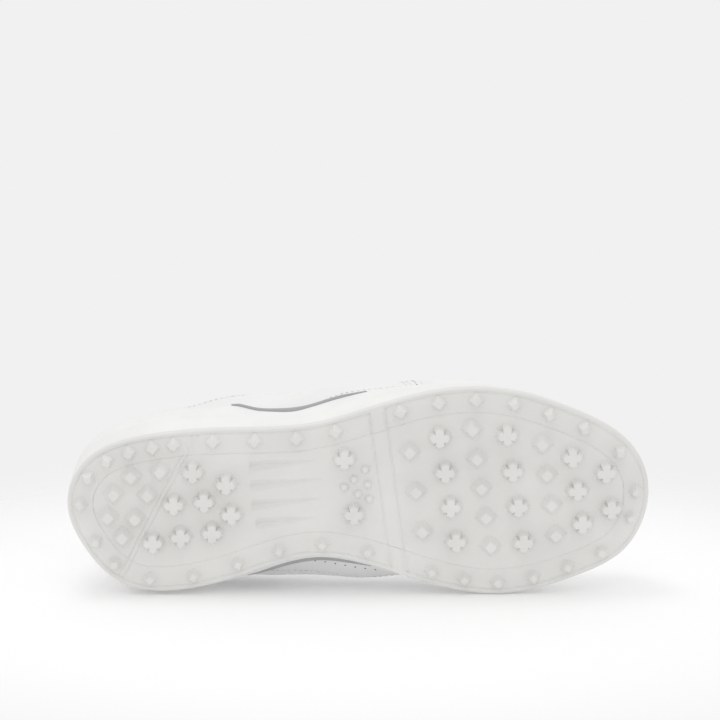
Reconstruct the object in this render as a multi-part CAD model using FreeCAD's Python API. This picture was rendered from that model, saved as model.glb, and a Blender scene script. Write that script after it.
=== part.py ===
import FreeCAD
import Part
import math
import os

# Right golf shoe, European size 37: spikeless cupsole and leather upper, one solid per real piece.
# Millimetres, +Z up, toe towards -Y, medial side towards +X. The origin is on the ground, below the
# middle of the outsole. Along the shoe, "s" is the distance from the back of the heel.

# ---- driving dimensions: outsole outline
SOLE_LENGTH = 260.0
TOE_TIP_X = 4.0
HEEL_BACK_X = 1.0
# (distance from the heel, lateral reach, medial reach), from the toe to the heel
STATIONS = [
    (250, 20, 29.5),
    (225, 36, 42),
    (190, 47, 48),
    (150, 43.5, 38.7),
    (110, 33, 28.2),
    (70, 32, 38),
    (30, 28.5, 41),
    (8, 18, 23),
]
HALF_TURN = len(STATIONS) + 1
FULL_TURN = 2 * HALF_TURN

# ---- driving dimensions: sole stack
LUG_HEIGHT = 4.5
PLATE_THICKNESS = 3.5
TOE_SPRING = 9.5
SPRING_START = 175.0
MIDSOLE_HEEL = 12.0
MIDSOLE_FORE = 5.0
BOARD_THICKNESS = 1.8
FOOTBED_HEEL = 5.5
FOOTBED_FORE = 4.0
HEEL_CUSHION_S = 40.0
HEEL_CUSHION = (5.0, 20.0, 7.5)
SHANK_RANGE = (72.0, 156.0)
SHANK_HALF = 6.0
SHANK_DEPTH = 2.4
FIT = 0.15
WALL_GAP = 0.35

# ---- driving dimensions: flex line and tongue hinge
FLEX_S = 176.0
FLEX_GAP = 0.4
FLEX_WEDGE = 10.7
TONGUE_CUT_S = 97.0
TONGUE_GAP = 0.5

# ---- driving dimensions: upper
FEATHER_INSET = 8.0
RIDGE_X = 1.5
RIDGE_HEEL_S = 42.0
RIDGE_MID_HEEL_S = 80.0
RIDGE_MID_TOE_S = 185.0
RIDGE_TOE_S = 212.0
RIDGE = [(42, 112), (60, 110), (80, 103), (100, 93.5), (125, 81), (150, 69.5), (178, 58.5), (200, 52.5), (212, 51.5)]
FULLNESS = [(42, 2.4), (100, 2.3), (150, 2.45), (205, 3.0)]
TOPLINE = [(-12, 79), (4, 79), (18, 76), (38, 69), (60, 65.5), (76, 69), (88, 77), (97, 88), (101, 98)]
SEAM_FOOT_S = 163.0
SEAM_TOP_S = 149.0
COLLAR_Z = 52.0
COUNTER_TOP = 50.0
BINDING = 1.4
THROAT_TOP_S = 92.0
THROAT_END_S = 146.0
THROAT_TOP_HALF = 10.5
THROAT_END_HALF = 8.0
EYESTAY_WIDTH = 7.5
TONGUE_HALF = 17.0
TONGUE_TIP_S = 70.0
LACE_ROWS = 5
LACE_FIRST_S = 105.0
LACE_PITCH = 9.0
LACE_WIDTH = 5.0
EYELET_REACH = 3.9
FLANGE_RADIUS = 2.7
FLANGE_THICKNESS = 0.6
BARREL_RADIUS = 2.0
EYELET_HOLE = 1.5
LABEL = (9.0, 34.0, 43.0)
HEEL_LABEL_X = 0.0

# layers of the upper, as distances out from the foot surface
LINING = (0.0, 0.9)
STIFFENER = (1.05, 2.2)
LEATHER = (2.35, 3.85)
OVERLAY = (4.0, 5.0)
COLLAR_FOAM = (-3.4, 0.9)
COLLAR_LINING = (-4.5, -3.55)
LACE_LAYER = (6.1, 7.4)
LABEL_LAYER = (5.15, 6.2)
TONGUE_LAYERS = (("face", (-1.4, -0.5)), ("foam", (-3.9, -1.5)), ("lining", (-4.8, -4.0)))

# ---- driving dimensions: top edge of the side wall, as (distance from the heel, height)
WALL_LATERAL = [(-5, 33), (30, 33), (64, 33), (76, 30.5), (86, 21), (97, 18), (107, 18.4), (120, 24),
                (136, 26), (190, 26), (225, 29), (250, 34), (265, 35)]
WALL_MEDIAL = [(-5, 33), (30, 33), (60, 30), (80, 19), (100, 16.5), (138, 16.5), (156, 21), (175, 26),
               (190, 26), (225, 29), (250, 34), (265, 35)]
# how far the wall flares out beyond the outsole, or leans in where it's negative
FLARE_LATERAL = [(-5, 0.5), (15, 2), (40, 4), (70, 4.6), (122, 4.6), (165, -1), (195, -2.5), (265, -2.5)]
FLARE_MEDIAL = [(-5, 0.5), (20, 1.5), (50, 3), (100, 4.5), (135, 3.5), (170, 0), (200, -1.5), (265, -2.5)]
FLARE_RISE = 9.0
FLARE_SHARE = 0.45
WALL_LEVELS = [-10, -2, 6, 8, 10, 12, 14, 17, 20, 23, 26, 30, 36, 45, 55]
# how far the upper swells out over the waist of the sole
BULGE_LATERAL = [(40, 0), (75, 6), (115, 9), (146, 4.5), (166, 4.6), (190, 2.5), (215, 0)]
BULGE_MEDIAL = [(30, 0), (60, 5), (95, 17), (125, 18), (155, 6), (180, 0)]
BULGE_TOP_LATERAL = 0.8
BULGE_TOP_MEDIAL = 0.42
PIPING = 1.5
PIPING_RANGE = (73.0, 136.0)

# ---- driving dimensions: lugs. Rows across the forefoot: kind, first s, first x, step, count
ROW_SLANT = 0.13
FOREFOOT_ROWS = [
    ("diamond", 153, -19.5, 18.3, 3),
    ("star", 166.5, -25.7, 16.0, 4),
    ("diamond", 181, -29.1, 13.5, 5),
    ("star", 196.5, -25.7, 16.5, 4),
    ("diamond", 212, -20.9, 14.0, 4),
    ("star", 225.5, -14.2, 15.4, 3),
    ("star", 240.5, -6, 16.8, 2),
]
HEEL_DIAMONDS = [(42, -13.7), (29, -11.8), (36, -3), (21, -4), (18, 6.5), (30, 7.5), (24, 16)]
HEEL_STARS = [(56.5, -12.8), (71, -7), (47.5, 1.7), (61, 0.7), (73, 7), (37.5, 19), (50, 16.6), (64, 15.2)]
ARCH_STARS = [(124, -17), (127.5, 8.4)]
ARCH_DOMES = [(133, -11.8), (128, -7.5), (134, -5), (123.5, -4), (129.5, -0.7), (134.5, 1.7)]
DIAMOND_RADIUS = 4.8
STAR_RADIUS = 5.2
STAR_WAIST = 3.1
EDGE_LUG_RADIUS = 3.2
DOME_RADIUS = 1.7
LUG_TOP_SCALE = 0.5
EDGE_LUG_INSET = 6.0
EDGE_LUGS_LATERAL = [10, 18.5, 28.5, 39, 48.5, 66, 84.5, 103, 120.5, 149.5, 166.5, 183, 200, 215.5, 231, 247]
EDGE_LUGS_MEDIAL = [12, 20, 35.5, 55, 75, 93.5, 113, 133, 161.5, 176, 191, 207, 222.5, 238, 251.5]
LUG_ROOT = 0.6

SPLINE_PASSES = 60
LENGTH_STEPS = 36
RISE_STEPS = 12
RISE_CROWDING = 1.25
REACH = 120.0


def vector(x, y, z):
    return FreeCAD.Vector(x, y, z)


def y_at(s):
    return SOLE_LENGTH / 2 - s


# ---- curves

def ring_control(values):
    """Control values of the closed uniform cubic B-spline that passes through the values."""
    control = list(values)
    count = len(values)
    for _ in range(SPLINE_PASSES):
        for i in range(count):
            control[i] = (6 * values[i] - control[i - 1] - control[(i + 1) % count]) / 4
    return control


def on_ring(control, t):
    i = math.floor(t)
    f = t - i
    a, b, c, d = (control[(i + k) % len(control)] for k in (-1, 0, 1, 2))
    return (a * (1 - f) ** 3 + b * (3 * f ** 3 - 6 * f ** 2 + 4)
            + c * (3 * f - 3 * f ** 3 + 3 * f ** 2 + 1) + d * f ** 3) / 6


def smooth_profile(points, s):
    """Value at s of the smooth curve through (s, value) points, level beyond its ends."""
    if s <= points[0][0]:
        return float(points[0][1])
    if s >= points[-1][0]:
        return float(points[-1][1])
    k = max(i for i, point in enumerate(points) if point[0] <= s)
    slopes = []
    for i in (k, k + 1):
        if i in (0, len(points) - 1):
            slopes.append(0.0)
        else:
            slopes.append((points[i + 1][1] - points[i - 1][1]) / (points[i + 1][0] - points[i - 1][0]))
    span = points[k + 1][0] - points[k][0]
    f = (s - points[k][0]) / span
    return (points[k][1] * (2 * f ** 3 - 3 * f ** 2 + 1) + points[k + 1][1] * (3 * f ** 2 - 2 * f ** 3)
            + span * (slopes[0] * (f ** 3 - 2 * f ** 2 + f) + slopes[1] * (f ** 3 - f ** 2)))


def smooth_step(f):
    f = min(1.0, max(0.0, f))
    return f * f * (3 - 2 * f)


# ---- outline: t runs once round the sole, from the toe tip along the lateral side to the heel

def outline_controls():
    lateral = [(-reach, s) for s, reach, _ in STATIONS]
    medial = [(reach, s) for s, _, reach in reversed(STATIONS)]
    ring = [(TOE_TIP_X, SOLE_LENGTH)] + lateral + [(HEEL_BACK_X, 0)] + medial
    return ring_control([p[0] for p in ring]), ring_control([y_at(p[1]) for p in ring])


CONTROL_X, CONTROL_Y = outline_controls()


def centred(control):
    values = [on_ring(control, FULL_TURN * i / 720) for i in range(720)]
    middle = (min(values) + max(values)) / 2
    return [value - middle for value in control]


CONTROL_X = centred(CONTROL_X)
CONTROL_Y = centred(CONTROL_Y)


def outline(t, inset=0.0):
    """Plan position (x, y) on the outline, moved inwards by inset."""
    x, y = on_ring(CONTROL_X, t), on_ring(CONTROL_Y, t)
    tx = on_ring(CONTROL_X, t + 0.01) - on_ring(CONTROL_X, t - 0.01)
    ty = on_ring(CONTROL_Y, t + 0.01) - on_ring(CONTROL_Y, t - 0.01)
    size = math.hypot(tx, ty)
    return x + inset * ty / size, y - inset * tx / size


# ---- heights of the sole stack

def spring(s):
    return TOE_SPRING * (max(0.0, s - SPRING_START) / (SOLE_LENGTH - SPRING_START)) ** 2


def plate_bottom(s):
    return LUG_HEIGHT + spring(s)


def plate_top(s):
    return plate_bottom(s) + PLATE_THICKNESS


def midsole_top(s):
    heel = smooth_step((130 - s) / 95)
    return plate_top(s) + MIDSOLE_FORE + (MIDSOLE_HEEL - MIDSOLE_FORE) * heel


def board_top(s):
    return midsole_top(s) + BOARD_THICKNESS


def footbed_top(s):
    heel = smooth_step((150 - s) / 110)
    return board_top(s) + FOOTBED_FORE + (FOOTBED_HEEL - FOOTBED_FORE) * heel


# ---- plain solids: plan prisms seen from above, side slabs seen from the side

def closed_curve(points):
    curve = Part.BSplineCurve()
    curve.interpolate(points, PeriodicFlag=True)
    return Part.Face(Part.Wire(curve.toShape()))


def plan_prism(inset, z0=-10.0, z1=140.0):
    """Prism over the outline, moved inwards by inset(t)."""
    turns = [FULL_TURN * i / 54 for i in range(54)]
    ring = [outline(t, inset(t)) for t in turns]
    return closed_curve([vector(x, y, z0) for x, y in ring]).extrude(vector(0, 0, z1 - z0))


def plan_polygon(points, z0=-10.0, z1=160.0):
    """Prism over a polygon of (s, x) points."""
    corners = [vector(x, y_at(s), z0) for s, x in points]
    return Part.Face(Part.makePolygon(corners + corners[:1])).extrude(vector(0, 0, z1 - z0))


def side_polygon(points, x0=-REACH, x1=REACH):
    """Prism across the shoe, over a polygon of (s, z) points."""
    corners = [vector(x0, y_at(s), z) for s, z in points]
    return Part.Face(Part.makePolygon(corners + corners[:1])).extrude(vector(x1 - x0, 0, 0))


def side_slab(lower, upper, s0=-20.0, s1=280.0, x0=-REACH, x1=REACH, step=7.5):
    """Prism across the shoe between two height functions of s."""
    count = max(2, int((s1 - s0) / step))
    stations = [s0 + (s1 - s0) * i / count for i in range(count + 1)]
    edges = []
    for height in (lower, upper):
        curve = Part.BSplineCurve()
        curve.interpolate([vector(x0, y_at(s), height(s)) for s in stations])
        edges.append(curve.toShape())
    for s in (s0, s1):
        edges.append(Part.makeLine(vector(x0, y_at(s), lower(s)), vector(x0, y_at(s), upper(s))))
    wire = Part.Wire(Part.__sortEdges__(edges))
    return Part.Face(wire).extrude(vector(x1 - x0, 0, 0))


def level(height):
    return lambda s: height


# ---- the foot surface, offset to each layer of the upper

def ridge_station(s):
    """Sections stand square to the shoe amidships and fan in towards a centre at each end."""
    for middle, centre in ((RIDGE_MID_HEEL_S, RIDGE_HEEL_S), (RIDGE_MID_TOE_S, RIDGE_TOE_S)):
        room = centre - middle
        if (s - middle) / room > 0:
            return middle + room * (1 - math.exp(-(s - middle) / room))
    return s


def ridge_point(t):
    """Point of the ridge line that the section at t rises to, and its station."""
    c = ridge_station(SOLE_LENGTH / 2 - on_ring(CONTROL_Y, t))
    return vector(RIDGE_X, y_at(c), smooth_profile(RIDGE, c)), c


def on_side(t, lateral, medial):
    """Value at t of the side profile that belongs to its side of the shoe."""
    side = medial if t % FULL_TURN > HALF_TURN else lateral
    return smooth_profile(side, SOLE_LENGTH / 2 - outline(t)[1])


def flare(t):
    return on_side(t, FLARE_LATERAL, FLARE_MEDIAL)


def foot_inset(t):
    """How far the foot surface starts inside the outline."""
    return FEATHER_INSET - FLARE_SHARE * flare(t)


def swell(t, v):
    """Sideways bulge of the upper over the waist, fullest a third of the way up to where it ends."""
    side = 1 if t % FULL_TURN > HALF_TURN else -1
    q = min(1.0, v / (BULGE_TOP_MEDIAL if side > 0 else BULGE_TOP_LATERAL))
    return side * on_side(t, BULGE_LATERAL, BULGE_MEDIAL) * 17.54 * q ** 1.5 * (1 - q) ** 3


def upper_point(t, v):
    """Point on the foot surface: t round the outline, v from 0 at the sole to 1 on the ridge."""
    x, y = outline(t, foot_inset(t))
    base = vector(x, y, midsole_top(SOLE_LENGTH / 2 - y))
    ridge, c = ridge_point(t)
    power = 2 / smooth_profile(FULLNESS, c)
    inward = 1 - max(0.0, math.cos(v * math.pi / 2)) ** power
    rise = math.sin(v * math.pi / 2) ** power
    return vector(base.x + (ridge.x - base.x) * inward + swell(t, v), base.y + (ridge.y - base.y) * inward,
                  base.z + (ridge.z - base.z) * rise)


def upper_normal(t, v):
    if v > 0.999:
        c = ridge_point(t)[1]
        slope = smooth_profile(RIDGE, c + 0.5) - smooth_profile(RIDGE, c - 0.5)
        return vector(0, slope, 1).normalize()
    low, high = max(0.0, v - 0.01), min(0.995, v + 0.01)
    along = upper_point(t + 0.02, v) - upper_point(t - 0.02, v)
    up = upper_point(t, high) - upper_point(t, low)
    normal = up.cross(along).normalize()
    if v < 0.001:
        normal = vector(normal.x, normal.y, 0).normalize()
    return normal


def offset_point(t, v, distance):
    return upper_point(t, v) + upper_normal(t, v) * distance


def even_curve(points):
    curve = Part.BSplineCurve()
    curve.interpolate(Points=points, Parameters=[float(i) for i in range(len(points))])
    return curve


def even_surface(rows):
    """Bicubic surface through a grid of points, spaced evenly in both parameters."""
    across = [even_curve(row) for row in rows]
    columns = zip(*[curve.getPoles() for curve in across])
    along = [even_curve(list(column)) for column in columns]
    poles = [list(line) for line in zip(*[curve.getPoles() for curve in along])]
    surface = Part.BSplineSurface()
    surface.buildFromPolesMultsKnots(poles, along[0].getMultiplicities(), across[0].getMultiplicities(),
                                     along[0].getKnots(), across[0].getKnots(), False, False, 3, 3)
    return surface


def foot_solid(distance, skirt):
    """Closed solid inside the foot surface offset by distance, running skirt below the midsole top."""
    faces = []
    for start in (0, HALF_TURN):
        rows = []
        for i in range(LENGTH_STEPS + 1):
            t = start + HALF_TURN * i / LENGTH_STEPS
            foot = offset_point(t, 0.0, distance)
            row = [foot - vector(0, 0, drop) for drop in (skirt, 3, 1.5)]
            row += [offset_point(t, (j / RISE_STEPS) ** RISE_CROWDING, distance) for j in range(RISE_STEPS + 1)]
            rows.append(row)
        faces.append(even_surface(rows).toShape())
    faces.append(bridge(faces, lambda edge: -edge.BoundBox.ZMax))
    return closed_solid(faces)


def bridge(faces, rank):
    """Flat face between the highest ranked edge of two faces."""
    lateral, medial = (max(face.Edges, key=rank) for face in faces[:2])
    return Part.makeRuledSurface(lateral, medial)


def closed_solid(faces):
    shell = Part.makeShell(faces)
    shell.sewShape()
    solid = Part.makeSolid(shell.Shells[0] if shell.Shells else shell)
    if solid.Volume < 0:
        solid.reverse()
    return solid


def wall_point(t, z):
    """Point of the cupsole wall's outer face."""
    share = smooth_step((z - plate_top(SOLE_LENGTH / 2 - outline(t)[1])) / FLARE_RISE)
    x, y = outline(t, -flare(t) * share)
    return vector(x, y, z)


def wall_body():
    """Closed solid inside the cupsole wall's outer face."""
    faces = []
    for start in (0, HALF_TURN):
        turns = [start + HALF_TURN * i / LENGTH_STEPS for i in range(LENGTH_STEPS + 1)]
        faces.append(even_surface([[wall_point(t, z) for z in WALL_LEVELS] for t in turns]).toShape())
    faces.append(bridge(faces, lambda edge: -edge.BoundBox.ZMax))
    faces.append(bridge(faces, lambda edge: edge.BoundBox.ZMin))
    return closed_solid(faces)


# ---- zones that cut the layers into pieces

def topline(s):
    return smooth_profile(TOPLINE, s)


def trim_upper(shape, trim=0.0):
    """The part of a layer above the midsole and below the collar's top edge."""
    above = side_slab(lambda s: topline(s) - trim, level(150), TOPLINE[0][0], TOPLINE[-1][0])
    return shape.common(side_slab(midsole_top, level(150))).cut(above)


def behind_seam(gap=0.0):
    return side_polygon([(-30, -20), (SEAM_FOOT_S - gap, -20), (SEAM_FOOT_S - gap, 13),
                         (SEAM_TOP_S - gap, 80), (SEAM_TOP_S - gap, 200), (-30, 200)])


def ahead_of_seam():
    return side_polygon([(300, -20), (SEAM_FOOT_S, -20), (SEAM_FOOT_S, 13),
                         (SEAM_TOP_S, 80), (SEAM_TOP_S, 200), (300, 200)])


FLEX_Z = footbed_top(FLEX_S) + 1.0


def flex_zone(direction):
    """Half of space on the toe side (+1) or the heel side (-1) of the flex line's open V."""
    edge = FLEX_S + direction * FLEX_GAP / 2
    lean = (200 - FLEX_Z) * math.tan(math.radians(FLEX_WEDGE))
    far = FLEX_S + direction * 300
    return side_polygon([(edge, -20), (edge, FLEX_Z), (edge + direction * lean, 200), (far, 200), (far, -20)])


def throat(margin=0.0, z0=40.0):
    """Prism of the open throat between the eyestays, wider by margin."""
    top, end = THROAT_TOP_HALF + margin, THROAT_END_HALF + margin
    corner = THROAT_END_S + margin * 0.6
    points = [(THROAT_TOP_S - 60, RIDGE_X - top), (THROAT_TOP_S, RIDGE_X - top), (corner - 5, RIDGE_X - end),
              (corner, RIDGE_X - end + 5), (corner, RIDGE_X + end - 5), (corner - 5, RIDGE_X + end),
              (THROAT_TOP_S, RIDGE_X + top), (THROAT_TOP_S - 60, RIDGE_X + top)]
    return plan_polygon(points, z0)


def half(side):
    """Half of space on the medial (+1) or the lateral (-1) side of the heel seam and the throat."""
    x0, x1 = (RIDGE_X + FIT / 2, REACH) if side > 0 else (-REACH, RIDGE_X - FIT / 2)
    return side_slab(level(-20), level(200), x0=x0, x1=x1, step=150)


def layer(span):
    inner, outer = span
    return foot_solid(outer, 5).cut(foot_solid(inner, 7))


def largest(shape):
    return max(shape.Solids, key=lambda solid: solid.Volume)


NODES = {}


def add(name, shape):
    NODES[name] = shape


def add_split(name, shape):
    add(name + "_fore", largest(shape.common(flex_zone(1))))
    add(name + "_rear", largest(shape.common(flex_zone(-1))))


# ---- sole

def lug_ring(kind, radius, scale):
    """Outline of a lug in plan, as (s, x) offsets from its centre."""
    corners = []
    for i in range(8):
        reach = radius if i % 2 == 0 else radius * math.cos(math.pi / 4)
        if kind == "star" and i % 2:
            reach = STAR_WAIST
        corners.append((scale * reach * math.cos(i * math.pi / 4), scale * reach * math.sin(i * math.pi / 4)))
    return corners if kind == "star" else corners[::2]


def lug(kind, s, x, radius):
    """Truncated pyramid from the plate down to the ground line."""
    wires = []
    for scale, z in ((1.0, plate_bottom(s) + LUG_ROOT), (LUG_TOP_SCALE, spring(s))):
        corners = [vector(x + dx, y_at(s + ds), z) for ds, dx in lug_ring(kind, radius, scale)]
        wires.append(Part.makePolygon(corners + corners[:1]))
    return Part.makeLoft(wires, True, True)


def edge_lug_places():
    """Lug centres round the sole's edge: at the toe, at the heel, and at the listed stations between."""
    turns = [0, HALF_TURN]
    for stations, start, direction in ((EDGE_LUGS_LATERAL, 0, 1), (EDGE_LUGS_MEDIAL, FULL_TURN, -1)):
        for s in stations:
            walk = bisect(lambda d: outline(start + direction * d, EDGE_LUG_INSET)[1] - y_at(s), 0, HALF_TURN)
            turns.append(start + direction * walk)
    points = [outline(t, EDGE_LUG_INSET) for t in turns]
    return [(SOLE_LENGTH / 2 - y, x) for x, y in points]


def all_lugs():
    lugs = []
    for kind, s, x, step, count in FOREFOOT_ROWS:
        radius = STAR_RADIUS if kind == "star" else DIAMOND_RADIUS
        lugs += [lug(kind, s + ROW_SLANT * step * i, x + step * i, radius) for i in range(count)]
    lugs += [lug("diamond", s, x, DIAMOND_RADIUS) for s, x in HEEL_DIAMONDS]
    lugs += [lug("star", s, x, STAR_RADIUS) for s, x in HEEL_STARS + ARCH_STARS]
    lugs += [lug("diamond", s, x, EDGE_LUG_RADIUS) for s, x in edge_lug_places()]
    for s, x in ARCH_DOMES:
        foot = vector(x, y_at(s), spring(s) + LUG_HEIGHT / 3)
        lugs.append(Part.makeCone(DOME_RADIUS / 2, DOME_RADIUS, LUG_HEIGHT * 2 / 3 + LUG_ROOT, foot))
    return lugs


def make_outsole():
    plate = plan_prism(level(0.0)).common(side_slab(plate_bottom, plate_top))
    for one in all_lugs():
        plate = plate.fuse(one)
    add_split("outsole", plate)


def wall_height(side):
    points = WALL_MEDIAL if side > 0 else WALL_LATERAL
    return lambda s: smooth_profile(points, s)


def make_side_wall():
    """Cupsole wall round the midsole and the foot of the upper, and the piping on its wave."""
    hollow = plan_prism(lambda t: foot_inset(t) - LEATHER[1])
    hollow = hollow.common(side_slab(level(-20), lambda s: midsole_top(s) - 2))
    ring = wall_body().cut(foot_solid(LEATHER[1] + WALL_GAP, 5)).cut(hollow)
    pieces = []
    for side, name in ((-1, "lateral"), (1, "medial")):
        height = wall_height(side)
        x0, x1 = (RIDGE_X, REACH) if side > 0 else (-REACH, RIDGE_X)
        s0, s1 = PIPING_RANGE
        under = lambda s: height(s) - PIPING * smooth_step((s - s0 + 8) / 8) * smooth_step((s1 + 8 - s) / 8)
        pieces.append(ring.common(side_slab(plate_top, under, x0=x0, x1=x1)))
        top = side_slab(lambda s: height(s) - PIPING + WALL_GAP, height, s0, s1, x0, x1)
        add("wave_piping_" + name, largest(ring.common(top)))
    add_split("side_wall", pieces[0].fuse(pieces[1]))


def make_midsole():
    """Foam midsole with a gel cushion let into its heel from below, and the shank let in from above."""
    inside = plan_prism(lambda t: foot_inset(t) - LEATHER[1] + 2 * FIT)
    core = inside.common(side_slab(plate_top, midsole_top))
    x, radius, height = HEEL_CUSHION
    centre = vector(x, y_at(HEEL_CUSHION_S), plate_top(HEEL_CUSHION_S))
    pocket = Part.makeCylinder(radius + FIT, height + FIT + 5, centre - vector(0, 0, 5))
    s0, s1 = SHANK_RANGE
    slot = side_slab(lambda s: midsole_top(s) - SHANK_DEPTH, lambda s: midsole_top(s) + 5, s0 - FIT, s1 + FIT,
                     RIDGE_X - SHANK_HALF - FIT, RIDGE_X + SHANK_HALF + FIT, 6)
    add_split("midsole", core.cut(pocket).cut(slot))
    add("heel_cushion", Part.makeCylinder(radius, height, centre))
    add("shank", side_slab(lambda s: midsole_top(s) - SHANK_DEPTH + FIT, lambda s: midsole_top(s) - FIT, s0, s1,
                           RIDGE_X - SHANK_HALF, RIDGE_X + SHANK_HALF, 6))


def make_footbed():
    inside = foot_solid(-0.4, 5)
    add_split("insole_board", inside.common(side_slab(midsole_top, board_top)))
    add_split("footbed", foot_solid(-0.8, 5).common(side_slab(board_top, footbed_top)))


# ---- upper

def make_upper():
    edge_trim = BINDING + FIT
    leather = trim_upper(layer(LEATHER), edge_trim).cut(throat())
    lining = trim_upper(layer(LINING), edge_trim).cut(throat())
    stiffener = layer(STIFFENER)
    overlay = trim_upper(layer(OVERLAY), edge_trim)
    collar = side_slab(level(COLLAR_Z), level(200), -30, THROAT_TOP_S - 2)
    under_collar = side_slab(level(-20), level(COLLAR_Z - FIT), -30, THROAT_TOP_S - 2)
    ahead = side_slab(level(-20), level(200), THROAT_TOP_S - 2 + FIT, 300)

    add_split("vamp", leather.common(ahead_of_seam()))
    for side, name in ((-1, "lateral"), (1, "medial")):
        holes = eyelet_holes(side)
        quarter = leather.common(behind_seam(FIT)).common(half(side)).cut(holes)
        add("quarter_" + name, largest(quarter))
        stay = overlay.common(throat(EYESTAY_WIDTH)).cut(throat()).common(half(side))
        stay = stay.common(side_slab(level(-20), level(200), THROAT_TOP_S, 300))
        add("eyestay_" + name, largest(stay.cut(holes)))
    add("vamp_lining_fore", largest(lining.common(flex_zone(1))))
    rear_lining = lining.common(flex_zone(-1))
    add("quarter_lining", largest(rear_lining.common(under_collar.fuse(ahead))))
    add("toe_puff", largest(stiffener.common(side_slab(midsole_top, level(200), 214, 300))))
    counter = stiffener.common(side_slab(midsole_top, level(COUNTER_TOP), -30, 74))
    add("heel_counter", largest(counter))
    width, low, high = LABEL
    tab = side_slab(level(low), level(high), -20, 20, HEEL_LABEL_X - width / 2, HEEL_LABEL_X + width / 2)
    add("heel_label", largest(layer(LABEL_LAYER).common(tab)))
    patch = overlay.common(side_polygon([(-30, 33.6), (22, 33.6), (13, 78.2), (-30, 78.2)]))
    add("heel_patch", largest(patch))
    for name, span in (("collar_foam", COLLAR_FOAM), ("collar_lining", COLLAR_LINING)):
        add(name, largest(trim_upper(layer(span).common(collar), edge_trim).cut(throat(2))))
    rim = trim_upper(layer((COLLAR_LINING[0], LEATHER[1])).common(collar))
    below = side_slab(level(-20), lambda s: topline(s) - BINDING, TOPLINE[0][0], TOPLINE[-1][0])
    add("topline_binding", largest(rim.cut(below).cut(throat(2))))


def tongue_strip(s0, s1, z0):
    return plan_polygon([(s0, RIDGE_X - TONGUE_HALF), (s1, RIDGE_X - TONGUE_HALF),
                         (s1, RIDGE_X + TONGUE_HALF), (s0, RIDGE_X + TONGUE_HALF)], z0)


def make_tongue():
    """Leather face, foam and lining of the tongue, in a fixed part and a free top above the lace."""
    fixed = tongue_strip(TONGUE_CUT_S + TONGUE_GAP / 2, THROAT_END_S + 12, 50)
    free = tongue_strip(TONGUE_TIP_S, TONGUE_CUT_S - TONGUE_GAP / 2, 84)
    for name, span in TONGUE_LAYERS:
        body = layer(span)
        add("tongue_" + name, largest(body.common(fixed)))
        add("tongue_top_" + name, largest(body.common(free)))


def bisect(function, low, high):
    """Where a function that is negative at low and positive at high passes zero."""
    for _ in range(40):
        middle = (low + high) / 2
        if function(middle) > 0:
            high = middle
        else:
            low = middle
    return (low + high) / 2


def place_on_upper(s, reach, side):
    """Parameters (t, v) of the point of the foot surface at a station and a distance from the ridge."""
    t = bisect(lambda t: on_ring(CONTROL_Y, t) - y_at(s), 0, HALF_TURN)
    t = t if side < 0 else FULL_TURN - t
    v = bisect(lambda v: reach - abs(offset_point(t, v, OVERLAY[1]).x - RIDGE_X), 0.2, 0.98)
    return t, v


def throat_half(s):
    f = (s - THROAT_TOP_S) / (THROAT_END_S - THROAT_TOP_S)
    return THROAT_TOP_HALF + (THROAT_END_HALF - THROAT_TOP_HALF) * f


def eyelet_places(side):
    """Axis line of each eyelet: the point on the eyestay's face, and the direction outwards."""
    for row in range(LACE_ROWS):
        s = LACE_FIRST_S + LACE_PITCH * row
        t, v = place_on_upper(s, throat_half(s) + EYELET_REACH, side)
        yield offset_point(t, v, OVERLAY[1]), upper_normal(t, v)


def eyelet_holes(side):
    depth = 8.0
    return Part.makeCompound([Part.makeCylinder(BARREL_RADIUS + FIT, depth, face - axis * depth / 2, axis)
                              for face, axis in eyelet_places(side)])


def make_eyelets():
    for side, name in ((-1, "lateral"), (1, "medial")):
        rings = []
        for face, axis in eyelet_places(side):
            depth = OVERLAY[1] - LEATHER[0]
            flange = Part.makeCylinder(FLANGE_RADIUS, FLANGE_THICKNESS, face + axis * FIT * 2, axis)
            barrel = Part.makeCylinder(BARREL_RADIUS, depth + FIT * 3, face - axis * depth, axis)
            bore = Part.makeCylinder(EYELET_HOLE, depth * 3, face - axis * depth * 1.5, axis)
            rings.append(flange.fuse(barrel).cut(bore))
        add("eyelets_" + name, Part.makeCompound(rings))


def make_lace():
    """Five flat bars of the lace over the tongue, from eyelet to eyelet."""
    band = layer(LACE_LAYER)
    bars = []
    for row in range(LACE_ROWS):
        s = LACE_FIRST_S + LACE_PITCH * row
        reach = throat_half(s) + EYELET_REACH
        strip = plan_polygon([(s - LACE_WIDTH / 2, RIDGE_X - reach), (s + LACE_WIDTH / 2, RIDGE_X - reach),
                              (s + LACE_WIDTH / 2, RIDGE_X + reach), (s - LACE_WIDTH / 2, RIDGE_X + reach)], 50)
        bars.append(largest(band.common(strip)))
    add("lace", Part.makeCompound(bars))


def main():
    os.makedirs("parts", exist_ok=True)
    make_outsole()
    make_side_wall()
    make_midsole()
    make_footbed()
    make_upper()
    make_tongue()
    make_eyelets()
    make_lace()
    for name, shape in NODES.items():
        shape.exportStep("parts/%s.step" % name)
        box = shape.BoundBox
        print("%-22s %8.0f mm3 %s x %.1f..%.1f y %.1f..%.1f z %.1f..%.1f"
              % (name, shape.Volume, shape.isValid(), box.XMin, box.XMax, box.YMin, box.YMax, box.ZMin, box.ZMax))


if __name__ == "__main__":
    main()
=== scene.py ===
import math
import bmesh
import bpy
import numpy as np
from mathutils import Matrix


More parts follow.
